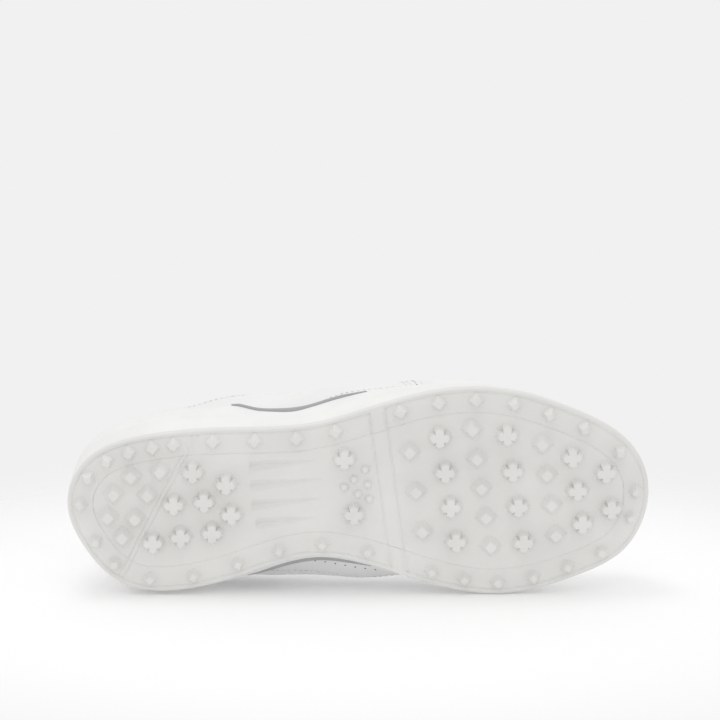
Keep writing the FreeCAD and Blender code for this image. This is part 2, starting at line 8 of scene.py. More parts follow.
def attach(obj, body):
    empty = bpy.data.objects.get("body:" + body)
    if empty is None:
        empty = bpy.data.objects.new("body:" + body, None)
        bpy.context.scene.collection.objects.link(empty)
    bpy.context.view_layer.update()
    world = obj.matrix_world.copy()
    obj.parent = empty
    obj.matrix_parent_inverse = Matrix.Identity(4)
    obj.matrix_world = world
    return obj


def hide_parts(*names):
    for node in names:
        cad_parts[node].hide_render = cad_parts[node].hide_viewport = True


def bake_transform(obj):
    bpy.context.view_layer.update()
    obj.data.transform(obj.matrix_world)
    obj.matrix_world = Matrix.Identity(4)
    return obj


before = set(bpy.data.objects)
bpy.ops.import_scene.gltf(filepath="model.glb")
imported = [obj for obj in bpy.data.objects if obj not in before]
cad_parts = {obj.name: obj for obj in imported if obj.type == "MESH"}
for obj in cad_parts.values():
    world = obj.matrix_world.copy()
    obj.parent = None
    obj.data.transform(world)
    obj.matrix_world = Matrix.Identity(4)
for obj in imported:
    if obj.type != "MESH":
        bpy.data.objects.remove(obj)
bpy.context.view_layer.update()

MM = 0.001

# Lengths below are in millimetres in the row frame: toe towards -Y, medial side towards +X, +Z up.
# "s" is the distance from the back of the heel. Meshes are scaled to metres as they are made.

# ---- outline of the sole, from the toe to the heel: (s, lateral reach, medial reach)
SOLE_LENGTH = 260.0
TOE_TIP_X = 4.0
HEEL_BACK_X = 1.0
STATIONS = [(250, 20, 29.5), (225, 36, 42), (190, 47, 48), (150, 43.5, 38.7), (110, 33, 28.2), (70, 32, 38),
            (30, 28.5, 41), (8, 18, 23)]
HALF_TURN = len(STATIONS) + 1
FULL_TURN = 2 * HALF_TURN

# ---- heights of the sole
LUG_HEIGHT = 4.5
PLATE = 3.5
TOE_SPRING = 9.5
SPRING_START = 175.0
WALL_LATERAL = [(-5, 33), (30, 33), (64, 33), (76, 30.5), (86, 21), (97, 18), (107, 18.4), (120, 24),
                (136, 26), (190, 26), (225, 29), (250, 34), (265, 35)]
WALL_MEDIAL = [(-5, 33), (30, 33), (60, 30), (80, 19), (100, 16.5), (138, 16.5), (156, 21), (175, 26),
               (190, 26), (225, 29), (250, 34), (265, 35)]
# how far the wall flares out beyond the outsole, or leans in where it's negative
FLARE_LATERAL = [(-5, 0.5), (15, 2), (40, 4), (70, 4.6), (122, 4.6), (165, -1), (195, -2.5), (265, -2.5)]
FLARE_MEDIAL = [(-5, 0.5), (20, 1.5), (50, 3), (100, 4.5), (135, 3.5), (170, 0), (200, -1.5), (265, -2.5)]
FLARE_RISE = 9.0
FLARE_SHARE = 0.45
# how far the upper swells out over the waist of the sole
BULGE_LATERAL = [(40, 0), (75, 6), (115, 9), (146, 4.5), (166, 4.6), (190, 2.5), (215, 0)]
BULGE_MEDIAL = [(30, 0), (60, 5), (95, 17), (125, 18), (155, 6), (180, 0)]
BULGE_TOP_LATERAL = 0.8
BULGE_TOP_MEDIAL = 0.42

# ---- the foot surface
FEATHER_INSET = 8.0
RIDGE_X = 1.5
RIDGE_MIDDLE = (80.0, 185.0)
RIDGE_ENDS = (42.0, 212.0)
RIDGE = [(42, 112), (60, 110), (80, 103), (100, 93.5), (125, 81), (150, 69.5), (178, 58.5), (200, 52.5),
         (212, 51.5)]
FULLNESS = [(42, 2.4), (100, 2.3), (150, 2.45), (205, 3.0)]
TOPLINE = [(-12, 79), (4, 79), (18, 76), (38, 69), (60, 65.5), (76, 69), (88, 77), (97, 88), (101, 98)]
THROAT = [(92, 10.5), (138, 8.2), (146, 0.0)]


# ======================================================================== curves and surfaces

def ring_control(values):
    """Control values of the closed uniform cubic B-spline through the values."""
    control = list(values)
    for _ in range(60):
        for i, value in enumerate(values):
            control[i] = (6 * value - control[i - 1] - control[(i + 1) % len(values)]) / 4
    return np.array(control, float)


def on_ring(control, t):
    t = np.asarray(t, float)
    i = np.floor(t).astype(int)
    f = t - i
    a, b, c, d = (control[(i + k) % len(control)] for k in (-1, 0, 1, 2))
    return (a * (1 - f) ** 3 + b * (3 * f ** 3 - 6 * f ** 2 + 4)
            + c * (3 * f - 3 * f ** 3 + 3 * f ** 2 + 1) + d * f ** 3) / 6


def profile(points, s):
    """Smooth curve through (s, value) points, level beyond its ends."""
    xs, ys = np.array(points, float).T
    slopes = np.zeros(len(xs))
    slopes[1:-1] = (ys[2:] - ys[:-2]) / (xs[2:] - xs[:-2])
    s = np.clip(np.asarray(s, float), xs[0], xs[-1])
    k = np.clip(np.searchsorted(xs, s, side="right") - 1, 0, len(xs) - 2)
    span = xs[k + 1] - xs[k]
    f = (s - xs[k]) / span
    return (ys[k] * (2 * f ** 3 - 3 * f ** 2 + 1) + ys[k + 1] * (3 * f ** 2 - 2 * f ** 3)
            + span * (slopes[k] * (f ** 3 - 2 * f ** 2 + f) + slopes[k + 1] * (f ** 3 - f ** 2)))


def smooth_step(f):
    f = np.clip(f, 0, 1)
    return f * f * (3 - 2 * f)


def outline_controls():
    lateral = [(-reach, s) for s, reach, _ in STATIONS]
    medial = [(reach, s) for s, _, reach in reversed(STATIONS)]
    ring = [(TOE_TIP_X, SOLE_LENGTH)] + lateral + [(HEEL_BACK_X, 0)] + medial
    controls = [ring_control([p[0] for p in ring]), ring_control([SOLE_LENGTH / 2 - p[1] for p in ring])]
    turn = np.linspace(0, FULL_TURN, 720, endpoint=False)
    for control in controls:
        values = on_ring(control, turn)
        control -= (values.min() + values.max()) / 2
    return controls


CONTROL_X, CONTROL_Y = outline_controls()


def outline(t, inset=0.0):
    """Plan position on the outline, moved inwards. t runs from the toe tip along the lateral side."""
    step = 0.01
    x, y = on_ring(CONTROL_X, t), on_ring(CONTROL_Y, t)
    tx = on_ring(CONTROL_X, t + step) - on_ring(CONTROL_X, t - step)
    ty = on_ring(CONTROL_Y, t + step) - on_ring(CONTROL_Y, t - step)
    size = np.hypot(tx, ty)
    return x + inset * ty / size, y - inset * tx / size


def spring(s):
    return TOE_SPRING * (np.maximum(0, s - SPRING_START) / (SOLE_LENGTH - SPRING_START)) ** 2


def plate_bottom(s):
    return LUG_HEIGHT + spring(s)


def midsole_top(s):
    return plate_bottom(s) + PLATE + 5.0 + 7.0 * smooth_step((130 - s) / 95)


def footbed_top(s):
    return midsole_top(s) + 1.8 + 4.0 + 1.5 * smooth_step((150 - s) / 110)


def ridge_station(s):
    s = np.asarray(s, float)
    heel_room = RIDGE_ENDS[0] - RIDGE_MIDDLE[0]
    toe_room = RIDGE_ENDS[1] - RIDGE_MIDDLE[1]
    behind = np.minimum(s, RIDGE_MIDDLE[0]) - RIDGE_MIDDLE[0]
    ahead = np.maximum(s, RIDGE_MIDDLE[1]) - RIDGE_MIDDLE[1]
    heel = RIDGE_MIDDLE[0] + heel_room * (1 - np.exp(-behind / heel_room))
    toe = RIDGE_MIDDLE[1] + toe_room * (1 - np.exp(-ahead / toe_room))
    return np.where(s < RIDGE_MIDDLE[0], heel, np.where(s > RIDGE_MIDDLE[1], toe, s))


def on_side(t, lateral, medial):
    """Value at t of the side profile that belongs to its side of the shoe."""
    s = SOLE_LENGTH / 2 - on_ring(CONTROL_Y, t)
    return np.where(np.asarray(t) % FULL_TURN > HALF_TURN, profile(medial, s), profile(lateral, s))


def flare(t):
    return on_side(t, FLARE_LATERAL, FLARE_MEDIAL)


SKIRT = 40.0


def foot(tau, u):
    """Point on the foot surface. tau runs from the toe (0) to the heel (9) and u runs across, from the
    lateral sole edge (-1) over the ridge (0) to the medial sole edge (1). Beyond 1 it drops straight down."""
    tau, u = np.broadcast_arrays(np.asarray(tau, float), np.asarray(u, float))
    t = np.where(u <= 0, tau, FULL_TURN - tau)
    x, y = outline(t, FEATHER_INSET - FLARE_SHARE * flare(t))
    base_z = midsole_top(SOLE_LENGTH / 2 - y)
    q = np.clip((1 - np.abs(u)) / np.where(u <= 0, BULGE_TOP_LATERAL, BULGE_TOP_MEDIAL), 0, 1)
    swell = np.where(u <= 0, -1, 1) * on_side(t, BULGE_LATERAL, BULGE_MEDIAL) * 17.54 * q ** 1.5 * (1 - q) ** 3
    c = ridge_station(SOLE_LENGTH / 2 - on_ring(CONTROL_Y, t))
    angle = np.clip(1 - np.abs(u), 0, 1) * math.pi / 2
    power = 2 / profile(FULLNESS, c)
    inward = 1 - np.cos(angle) ** power
    rise = np.sin(angle) ** power
    z = base_z + (profile(RIDGE, c) - base_z) * rise - SKIRT * np.maximum(0, np.abs(u) - 1)
    return np.stack([x + (RIDGE_X - x) * inward + swell, y + (SOLE_LENGTH / 2 - c - y) * inward, z], -1)


def foot_normal(tau, u):
    tau, u = np.broadcast_arrays(np.asarray(tau, float), np.asarray(u, float))
    du, dtau = 0.012, 0.02
    u = np.where(np.abs(u) > 0.985, np.sign(u) * 0.985, u)
    across = foot(tau, u + du) - foot(tau, u - du)
    along = foot(tau + dtau, u) - foot(tau - dtau, u)
    normal = np.cross(across, along)
    return normal / np.maximum(np.linalg.norm(normal, axis=-1, keepdims=True), 1e-9)


def upper(tau, u, distance):
    """Point of the upper at a distance out from the foot surface."""
    return foot(tau, u) + foot_normal(tau, u) * np.asarray(distance)[..., None]


TAU_TABLE = np.linspace(0, HALF_TURN, 900)
S_TABLE = SOLE_LENGTH / 2 - on_ring(CONTROL_Y, TAU_TABLE)


def tau_at(s):
    return np.interp(-np.asarray(s, float), -S_TABLE, TAU_TABLE)


def s_at(tau):
    return np.interp(tau, TAU_TABLE, S_TABLE)


# ======================================================================== mesh building

class Mesh:
    """Collects pieces of mesh, in millimetres, into one object."""

    def __init__(self):
        self.points, self.faces, self.slots = [], [], []
        self.count = 0

    def add(self, points, faces):
        points = np.asarray(points, float).reshape(-1, 3)
        self.points.append(points)
        self.faces += [tuple(int(i) + self.count for i in face) for face in faces]
        self.slots += [0] * len(faces)
        self.count += len(points)

    def grid(self, points, wrap=False, flip=False):
        """A sheet of quads through an array of points; wrap joins its last row to its first."""
        rows, columns = points.shape[:2]
        faces = []
        for i in range(rows if wrap else rows - 1):
            j = (i + 1) % rows
            for k in range(columns - 1):
                face = (i * columns + k, i * columns + k + 1, j * columns + k + 1, j * columns + k)
                faces.append(face[::-1] if flip else face)
        self.add(points, faces)

    def tube(self, rings, caps=True):
        """A closed skin through rings of points."""
        rings = np.asarray(rings, float)
        rows, columns = rings.shape[:2]
        faces = []
        for i in range(rows - 1):
            for k in range(columns):
                j = (k + 1) % columns
                faces.append((i * columns + k, i * columns + j, (i + 1) * columns + j, (i + 1) * columns + k))
        if caps:
            faces.append(tuple(range(columns))[::-1])
            faces.append(tuple((rows - 1) * columns + k for k in range(columns)))
        self.add(rings, faces)

    def build(self, name, materials, smooth=True, weld=0.0, sharp=None):
        mesh = bpy.data.meshes.new(name)
        mesh.from_pydata((np.concatenate(self.points) * MM).tolist(), [], self.faces)
        mesh.polygons.foreach_set("material_index", self.slots)
        for material in materials:
            mesh.materials.append(material)
        obj = bpy.data.objects.new(name, mesh)
        bpy.context.scene.collection.objects.link(obj)
        tidy_mesh(obj, weld)
        mesh.polygons.foreach_set("use_smooth", [smooth] * len(mesh.polygons))
        if sharp is not None:
            mesh.set_sharp_from_angle(angle=math.radians(sharp))
        mesh.update()
        return obj


def tidy_mesh(obj, weld):
    """Welds touching points, drops flat faces and turns every face outwards."""
    work = bmesh.new()
    work.from_mesh(obj.data)
    if weld:
        bmesh.ops.remove_doubles(work, verts=work.verts, dist=weld * MM)
    bmesh.ops.dissolve_degenerate(work, edges=work.edges, dist=1e-7)
    bmesh.ops.recalc_face_normals(work, faces=work.faces)
    work.to_mesh(obj.data)
    work.free()


def edge_walls(mesh, outer, inner):
    """Joins the four edges of two sheets of the same size."""
    for edge in (np.s_[0], np.s_[-1], np.s_[:, 0], np.s_[:, -1]):
        mesh.grid(np.stack([outer[edge], inner[edge]]))


def bend_at_ball(obj):
    """The piece runs across the ball of the foot; its placement is baked into its mesh."""
    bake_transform(obj)


# ======================================================================== materials

def new_material(name, colour, roughness, **inputs):
    material = bpy.data.materials.new(name)
    material.use_nodes = True
    shader = material.node_tree.nodes["Principled BSDF"]
    shader.inputs["Base Color"].default_value = (*colour, 1)
    shader.inputs["Roughness"].default_value = roughness
    for key, value in inputs.items():
        shader.inputs[key.replace("_", " ")].default_value = value
    return material, material.node_tree.nodes, material.node_tree.links, shader


def object_noise(nodes, links, scale, detail=3.0, kind="ShaderNodeTexNoise"):
    where = nodes.new("ShaderNodeTexCoord")
    texture = nodes.new(kind)
    texture.inputs["Scale"].default_value = scale
    if "Detail" in texture.inputs:
        texture.inputs["Detail"].default_value = detail
    links.new(where.outputs["Object"], texture.inputs["Vector"])
    return texture


def ramp(nodes, links, source, low, high, start=0.35, stop=0.65):
    node = nodes.new("ShaderNodeValToRGB")
    node.color_ramp.elements[0].position = start
    node.color_ramp.elements[1].position = stop
    node.color_ramp.elements[0].color = (*low, 1)
    node.color_ramp.elements[1].color = (*high, 1)
    links.new(source, node.inputs["Fac"])
    return node


def bump(nodes, links, shader, height, strength, distance_mm, under=None):
    node = nodes.new("ShaderNodeBump")
    node.inputs["Strength"].default_value = strength
    node.inputs["Distance"].default_value = distance_mm * MM
    links.new(height, node.inputs["Height"])
    if under is not None:
        links.new(under.outputs["Normal"], node.inputs["Normal"])
    links.new(node.outputs["Normal"], shader.inputs["Normal"])
    return node


def tint(colour, factor):
    return tuple(min(1.0, channel * factor) for channel in colour)


def rubber_material(name, colour, roughness=0.52):
    """Moulded rubber: a fine sandblasted skin, faint patches of tone and uneven gloss."""
    material, nodes, links, shader = new_material(name, colour, roughness)
    patches = object_noise(nodes, links, 45)
    tone = ramp(nodes, links, patches.outputs["Fac"], tint(colour, 0.97), tint(colour, 1.02))
    links.new(tone.outputs["Color"], shader.inputs["Base Color"])
    gloss = ramp(nodes, links, patches.outputs["Fac"], (roughness - 0.06,) * 3, (roughness + 0.08,) * 3)
    links.new(gloss.outputs["Color"], shader.inputs["Roughness"])
    grain = object_noise(nodes, links, 2600, 2)
    bump(nodes, links, shader, grain.outputs["Fac"], 0.25, 0.06)
    return material


def leather_material(name, colour, roughness=0.42):
    """Coated leather: pebbled grain of small cells, long soft creases and uneven gloss."""
    material, nodes, links, shader = new_material(name, colour, roughness)
    patches = object_noise(nodes, links, 30)
    tone = ramp(nodes, links, patches.outputs["Fac"], tint(colour, 0.965), tint(colour, 1.015))
    links.new(tone.outputs["Color"], shader.inputs["Base Color"])
    cells = object_noise(nodes, links, 1150, kind="ShaderNodeTexVoronoi")
    cells.feature = "DISTANCE_TO_EDGE"
    walls = ramp(nodes, links, cells.outputs["Distance"], (0, 0, 0), (1, 1, 1), 0.0, 0.28)
    gloss = ramp(nodes, links, walls.outputs["Color"], (roughness + 0.14,) * 3, (roughness - 0.03,) * 3, 0, 1)
    links.new(gloss.outputs["Color"], shader.inputs["Roughness"])
    creases = object_noise(nodes, links, 120, 4)
    first = bump(nodes, links, shader, creases.outputs["Fac"], 0.25, 0.35)
    bump(nodes, links, shader, walls.outputs["Color"], 0.32, 0.07, first)
    return material


def cloth_material(name, colour, threads_per_m=1400, roughness=0.85):
    """Knit or woven textile: two crossed waves of thread with a soft sheen, and painted shade that darkens the
    low parts of the weave.
    """
    material, nodes, links, shader = new_material(name, colour, roughness, Sheen_Weight=0.25)
    where = nodes.new("ShaderNodeTexCoord")
    heights = []
    for direction in ("X", "Y", "Z"):
        wave = nodes.new("ShaderNodeTexWave")
        wave.bands_direction = direction
        wave.inputs["Scale"].default_value = threads_per_m / 20
        wave.inputs["Distortion"].default_value = 0.6
        links.new(where.outputs["Object"], wave.inputs["Vector"])
        heights.append(wave.outputs["Fac"])
    total = heights[0]
    for height in heights[1:]:
        join = nodes.new("ShaderNodeMath")
        join.operation = "MULTIPLY_ADD"
        join.inputs[1].default_value = 0.5
        links.new(total, join.inputs[0])
        links.new(height, join.inputs[2])
        total = join.outputs[0]
    # painted shade: the weave's low parts are coloured darker than the raised threads
    tone = ramp(nodes, links, total, tint(colour, 0.82), tint(colour, 1.04), 0.3, 1.3)
    tone.color_ramp.elements[1].position = 1.0
    links.new(tone.outputs["Color"], shader.inputs["Base Color"])
    bump(nodes, links, shader, total, 0.45, 0.22)
    return material


def foam_material(name, colour):
    material, nodes, links, shader = new_material(name, colour, 0.9)
    cells = object_noise(nodes, links, 900, kind="ShaderNodeTexVoronoi")
    # painted shade: each foam cell is coloured darker towards its pitted middle
    tone = ramp(nodes, links, cells.outputs["Distance"], tint(colour, 0.9), tint(colour, 1.03), 0, 0.6)
    links.new(tone.outputs["Color"], shader.inputs["Base Color"])
    bump(nodes, links, shader, cells.outputs["Distance"], 0.3, 0.15)
    return material


def metal_material(name, colour):
    material, nodes, links, shader = new_material(name, colour, 0.3, Metallic=1.0)
    scratches = object_noise(nodes, links, 900, 4)
    gloss = ramp(nodes, links, scratches.outputs["Fac"], (0.22,) * 3, (0.4,) * 3)
    links.new(gloss.outputs["Color"], shader.inputs["Roughness"])
    return material


SOLE_WHITE = rubber_material("sole_rubber", (0.765, 0.76, 0.742))
WALL_WHITE = rubber_material("wall_rubber", (0.86, 0.86, 0.85), 0.46)
LEATHER = leather_material("white_leather", (0.855, 0.855, 0.85))
# painted shade: the wave piping's grey is darker than the piping's own colour, standing in for the shade of the
# gap under the upper
PIPING_GREY_AND_SHADE = rubber_material("piping_grey_and_painted_shade", (0.43, 0.43, 0.435), 0.6)
THREAD = cloth_material("white_thread", (0.83, 0.83, 0.82), 3000)
# painted shade: the punched holes are coloured near black for the shade inside them
HOLE_SHADE_DARK = rubber_material("punched_hole", (0.16, 0.16, 0.165), 0.9)
LINING = cloth_material("grey_lining", (0.60, 0.61, 0.62), 1500)
FOOTBED = cloth_material("footbed_textile", (0.50, 0.52, 0.54), 1900)
TONGUE_LEATHER = leather_material("tongue_leather", (0.84, 0.84, 0.835), 0.46)
LACE_WHITE = cloth_material("lace_weave", (0.86, 0.86, 0.855), 2600)
LABEL_RED = cloth_material("label_weave", (0.22, 0.035, 0.04), 3200)
EYELET_METAL = metal_material("eyelet_metal", (0.62, 0.62, 0.63))
FOAM = foam_material("foam", (0.80, 0.78, 0.70))
BOARD = cloth_material("fibre_board", (0.62, 0.57, 0.48), 900)
NYLON = rubber_material("nylon", (0.03, 0.03, 0.032), 0.35)
GEL = rubber_material("gel", (0.35, 0.42, 0.52), 0.3)


# ======================================================================== camera, light and floor

TILT = math.radians(12.5)
ROLL = math.radians(1.6)
ALONG = np.array([0.0, -1.0, 0.0])
ACROSS = np.array([-math.cos(TILT), 0.0, math.sin(TILT)])
BACK = np.cross(ALONG, ACROSS)
RIGHT = ALONG * math.cos(ROLL) - ACROSS * math.sin(ROLL)
UP = ACROSS * math.cos(ROLL) + ALONG * math.sin(ROLL)
VIEW_DISTANCE = 1.35
VIEW_WIDTH = 0.3195
PICTURE_CENTRE = 0.0004 * RIGHT + 0.0612 * UP


def make_camera():
    data = bpy.data.cameras.new("camera")
    data.sensor_width = 36
    data.lens = 36 * VIEW_DISTANCE / VIEW_WIDTH
    data.clip_start = 0.05
    camera = bpy.data.objects.new("camera", data)
    bpy.context.scene.collection.objects.link(camera)
    place(camera, PICTURE_CENTRE + VIEW_DISTANCE * BACK, RIGHT, UP, BACK)
    bpy.context.scene.camera = camera


def place(obj, position, right, up, back):
    matrix = Matrix.Identity(4)
    for column, axis in enumerate((right, up, back, position)):
        for row in range(3):
            matrix[row][column] = float(axis[row])
    obj.matrix_world = matrix


def area_light(name, direction, distance, size, energy, target=(0, 0, 0.03)):
    data = bpy.data.lights.new(name, "AREA")
    data.shape = "DISK"
    data.size = size
    data.energy = energy
    light = bpy.data.objects.new(name, data)
    bpy.context.scene.collection.objects.link(light)
    back = np.array(direction, float) / np.linalg.norm(direction)
    side = np.cross((0, 1, 0) if abs(back[1]) < 0.9 else (1, 0, 0), back)
    side /= np.linalg.norm(side)
    place(light, np.array(target) + back * distance, side, np.cross(back, side), back)


def floor(name, centre, right, up, radius, shades=False):
    """One-sided pale disc that fades out round its edge."""
    back = np.cross(right, up)
    mesh = bpy.data.meshes.new(name)
    corners = [(-radius, -radius, 0), (radius, -radius, 0), (radius, radius, 0), (-radius, radius, 0)]
    mesh.from_pydata(corners, [], [(0, 1, 2, 3)])
    obj = bpy.data.objects.new(name, mesh)
    bpy.context.scene.collection.objects.link(obj)
    place(obj, centre, right, up, back)
    material, nodes, links, shader = new_material(name, (0.88, 0.88, 0.88), 0.8)
    shader.inputs["Emission Color"].default_value = (1, 1, 1, 1)
    shader.inputs["Emission Strength"].default_value = 0.12
    geometry = nodes.new("ShaderNodeNewGeometry")
    where = nodes.new("ShaderNodeTexCoord")
    length = nodes.new("ShaderNodeVectorMath")
    length.operation = "LENGTH"
    links.new(where.outputs["Object"], length.inputs[0])
    fade = nodes.new("ShaderNodeMapRange")
    fade.interpolation_type = "SMOOTHERSTEP"
    fade.inputs["From Min"].default_value = radius * 0.25
    fade.inputs["From Max"].default_value = radius * 0.95
    links.new(length.outputs["Value"], fade.inputs["Value"])
    most = nodes.new("ShaderNodeMath")
    most.operation = "MAXIMUM"
    links.new(fade.outputs["Result"], most.inputs[0])
    links.new(geometry.outputs["Backfacing"], most.inputs[1])
    clear = nodes.new("ShaderNodeBsdfTransparent")
    mix = nodes.new("ShaderNodeMixShader")
    links.new(most.outputs[0], mix.inputs[0])
    links.new(shader.outputs[0], mix.inputs[1])
    links.new(clear.outputs[0], mix.inputs[2])
    links.new(mix.outputs[0], nodes["Material Output"].inputs["Surface"])
    mesh.materials.append(material)
    obj.visible_shadow = False
    obj.visible_diffuse = shades
    obj.visible_glossy = False


def make_world():
    world = bpy.data.worlds.new("studio")
    bpy.context.scene.world = world
    world.use_nodes = True
    world.node_tree.nodes["Background"].inputs["Color"].default_value = (0.879, 0.879, 0.879, 1)
    world.node_tree.nodes["Background"].inputs["Strength"].default_value = 1.0
    bpy.context.scene.view_settings.view_transform = "Standard"


SIDE_PITCH = math.radians(8)

make_camera()
make_world()
area_light("side_key", UP * 1.0 + BACK * 0.1 - RIGHT * 0.2, 1.3, 0.6, 2.2)
area_light("side_fill", BACK * 1.0 + UP * 0.9, 1.5, 0.7, 0.8)
area_light("top_key", (0.35, -0.3, 1.0), 1.3, 0.5, 1.0)
world_up = UP * math.cos(SIDE_PITCH) + BACK * math.sin(SIDE_PITCH)
world_back = np.cross(RIGHT, world_up)
floor("side_floor", np.array([0.0465, 0, 0.008]), RIGHT, -world_back, 0.42, True)
floor("level_floor", np.array([0.0, 0, 0.0]), np.array([1.0, 0, 0]), np.array([0, 1.0, 0]), 0.55)


# ======================================================================== outsole

CONTOUR_INSET = 11.5
BAND = ((139.0, -37.8), (146.5, 30.6))
BAND_HALF = 3.3
HEEL_LINE = ((58.5, -30.5), (23.2, 33.3))
FLUTES = [((81, -14.5), (112, -16.5)), ((81, -5.5), (115, -8.0)),
          ((81, 3.5), (116, 1.0)), ((83, 12.0), (113, 9.5))]
FLUTE_HALF = 2.7
ROW_SLANT = 0.13
FOREFOOT_ROWS = [("diamond", 153, -19.5, 18.3, 3), ("star", 166.5, -25.7, 16.0, 4),
                 ("diamond", 181, -29.1, 13.5, 5),
                 ("star", 196.5, -25.7, 16.5, 4), ("diamond", 212, -20.9, 14.0, 4),
                 ("star", 225.5, -14.2, 15.4, 3),
                 ("star", 240.5, -6, 16.8, 2)]
HEEL_DIAMONDS = [(42, -13.7), (29, -11.8), (36, -3), (21, -4), (18, 6.5), (30, 7.5), (24, 16)]
HEEL_STARS = [(56.5, -12.8), (71, -7), (47.5, 1.7), (61, 0.7), (73, 7), (37.5, 19), (50, 16.6), (64, 15.2)]
ARCH_STARS = [(124, -17), (127.5, 8.4)]
ARCH_DOMES = [(133, -11.8), (128, -7.5), (134, -5), (123.5, -4), (129.5, -0.7), (134.5, 1.7)]
EDGE_LUG_INSET = 6.0
EDGE_LUG_RADIUS = 3.4
EDGE_LUGS_LATERAL = [10, 18.5, 28.5, 39, 48.5, 66, 84.5, 103, 120.5, 149.5, 166.5, 183, 200, 215.5, 231, 247]
EDGE_LUGS_MEDIAL = [12, 20, 35.5, 55, 75, 93.5, 113, 133, 161.5, 176, 191, 207, 222.5, 238, 251.5]


def segment_distance(s, x, a, b):
    """Signed distance of points (s, x) from the line through a and b, and how far along it they lie."""
    ds, dx = b[0] - a[0], b[1] - a[1]
    length = math.hypot(ds, dx)
    along = ((s - a[0]) * ds + (x - a[1]) * dx) / length ** 2
    return ((s - a[0]) * dx - (x - a[1]) * ds) / length, along


def groove(distance, half_width, depth):
    return depth * np.exp(-(distance / half_width) ** 2)


def sole_relief(s, x):
    """Depth of the moulded lines in the plate's face; raised features are negative."""
    depth = np.zeros_like(s)
    across, _ = segment_distance(s, x, *HEEL_LINE)
    depth += groove(across - 1.1, 0.38, 0.55) + groove(across + 1.1, 0.38, 0.55)
    across, _ = segment_distance(s, x, *BAND)
    depth -= 0.35 * smooth_step((BAND_HALF - np.abs(across)) / 0.5)
    depth += groove(np.abs(across) - BAND_HALF - 0.5, 0.4, 0.5)
    for start, end in FLUTES:
        across, along = segment_distance(s, x, start, end)
        width = FLUTE_HALF * np.clip(1 - along, 0.12, 1) ** 0.8
        inside = smooth_step(along / 0.05) * smooth_step((1 - along) / 0.1)
        depth += inside * 0.75 * width * np.clip(1 - np.abs(across) / width, 0, 1) ** 0.8
    return depth


def sole_field(mesh):
    """The plate's face inside the contour line, as a fine grid that carries the moulded relief."""
    turn = np.linspace(0, HALF_TURN, 1200)
    lateral = np.stack(outline(turn, CONTOUR_INSET), -1)
    medial = np.stack(outline(FULL_TURN - turn, CONTOUR_INSET), -1)
    low = max(lateral[:, 1].min(), medial[:, 1].min()) + 0.02
    high = min(lateral[:, 1].max(), medial[:, 1].max()) - 0.02
    rows, columns = 420, 136
    even = np.linspace(-1, 1, rows)
    y = (low + high) / 2 + (high - low) / 2 * (0.75 * even + 0.25 * np.sin(even * math.pi / 2))
    left = np.interp(y, lateral[:, 1], lateral[:, 0])
    right = np.interp(y, medial[:, 1], medial[:, 0])
    w = np.linspace(0, 1, columns)
    x = left[:, None] + (right - left)[:, None] * w[None, :]
    yy = np.broadcast_to(y[:, None], x.shape)
    s = SOLE_LENGTH / 2 - yy
    edge = np.minimum(np.minimum(x - left[:, None], right[:, None] - x),
                      np.minimum(yy - low, high - yy))
    lip = 0.3 * (1 - smooth_step(edge / 0.45))
    z = plate_bottom(s) + sole_relief(s, x) + lip
    face = np.stack([x, yy, z], -1)
    mesh.grid(face)
    top = face.copy()
    top[..., 2] = plate_bottom(s) + 2.4
    mesh.grid(top, flip=True)
    edge_walls(mesh, face, top)


RIM_PROFILE = [(CONTOUR_INSET, 2.4), (CONTOUR_INSET, 0.32), (11.3, 0.28), (11.1, 0.06), (10.9, 0.0), (7.0, 0.0),
               (3.4, 0.0), (2.9, 0.08), (2.55, 0.35), (2.3, 0.5), (2.05, 0.35), (1.7, 0.08), (1.0, 0.0),
               (0.5, 0.2), (0.12, 0.8), (0.0, 1.6), (0.0, 3.1), (0.3, 3.45), (CONTOUR_INSET, 3.45)]


def sole_rim(mesh):
    """Border of the plate: a rolled lip, a shallow groove and a flat that carries the edge lugs."""
    turn = np.linspace(0, FULL_TURN, 900, endpoint=False)
    insets = np.array([p[0] for p in RIM_PROFILE])
    rises = np.array([p[1] for p in RIM_PROFILE])
    x, y = outline(turn[:, None], insets[None, :])
    s = SOLE_LENGTH / 2 - y
    across, _ = segment_distance(s, x, *BAND)
    band = smooth_step((BAND_HALF - np.abs(across)) / 0.5)
    flat = (insets > 0.4) * (rises < 0.6)
    line = groove(np.abs(across) - BAND_HALF - 0.5, 0.45, 0.5)
    heel_across, _ = segment_distance(s, x, *HEEL_LINE)
    line += groove(heel_across - 1.1, 0.45, 0.5) + groove(heel_across + 1.1, 0.45, 0.5)
    rise = rises * (1 - band * flat) + flat * (line * (insets > 2.4) - 0.35 * band)
    z = plate_bottom(s) + rise
    mesh.grid(np.concatenate([np.stack([x, y, z], -1), np.stack([x, y, z], -1)[:, :1]], 1), wrap=True)


LUG_STEPS = [(1.12, 0.0), (1.03, 0.2), (0.97, 0.55), (0.6, 3.8), (0.56, 4.2), (0.5, 4.42), (0.42, LUG_HEIGHT)]
STAR_STEPS = [(1.08, 0.0), (1.02, 0.25), (0.99, 0.7), (0.83, 3.7), (0.8, 4.15), (0.73, 4.42),
              (0.62, LUG_HEIGHT)]


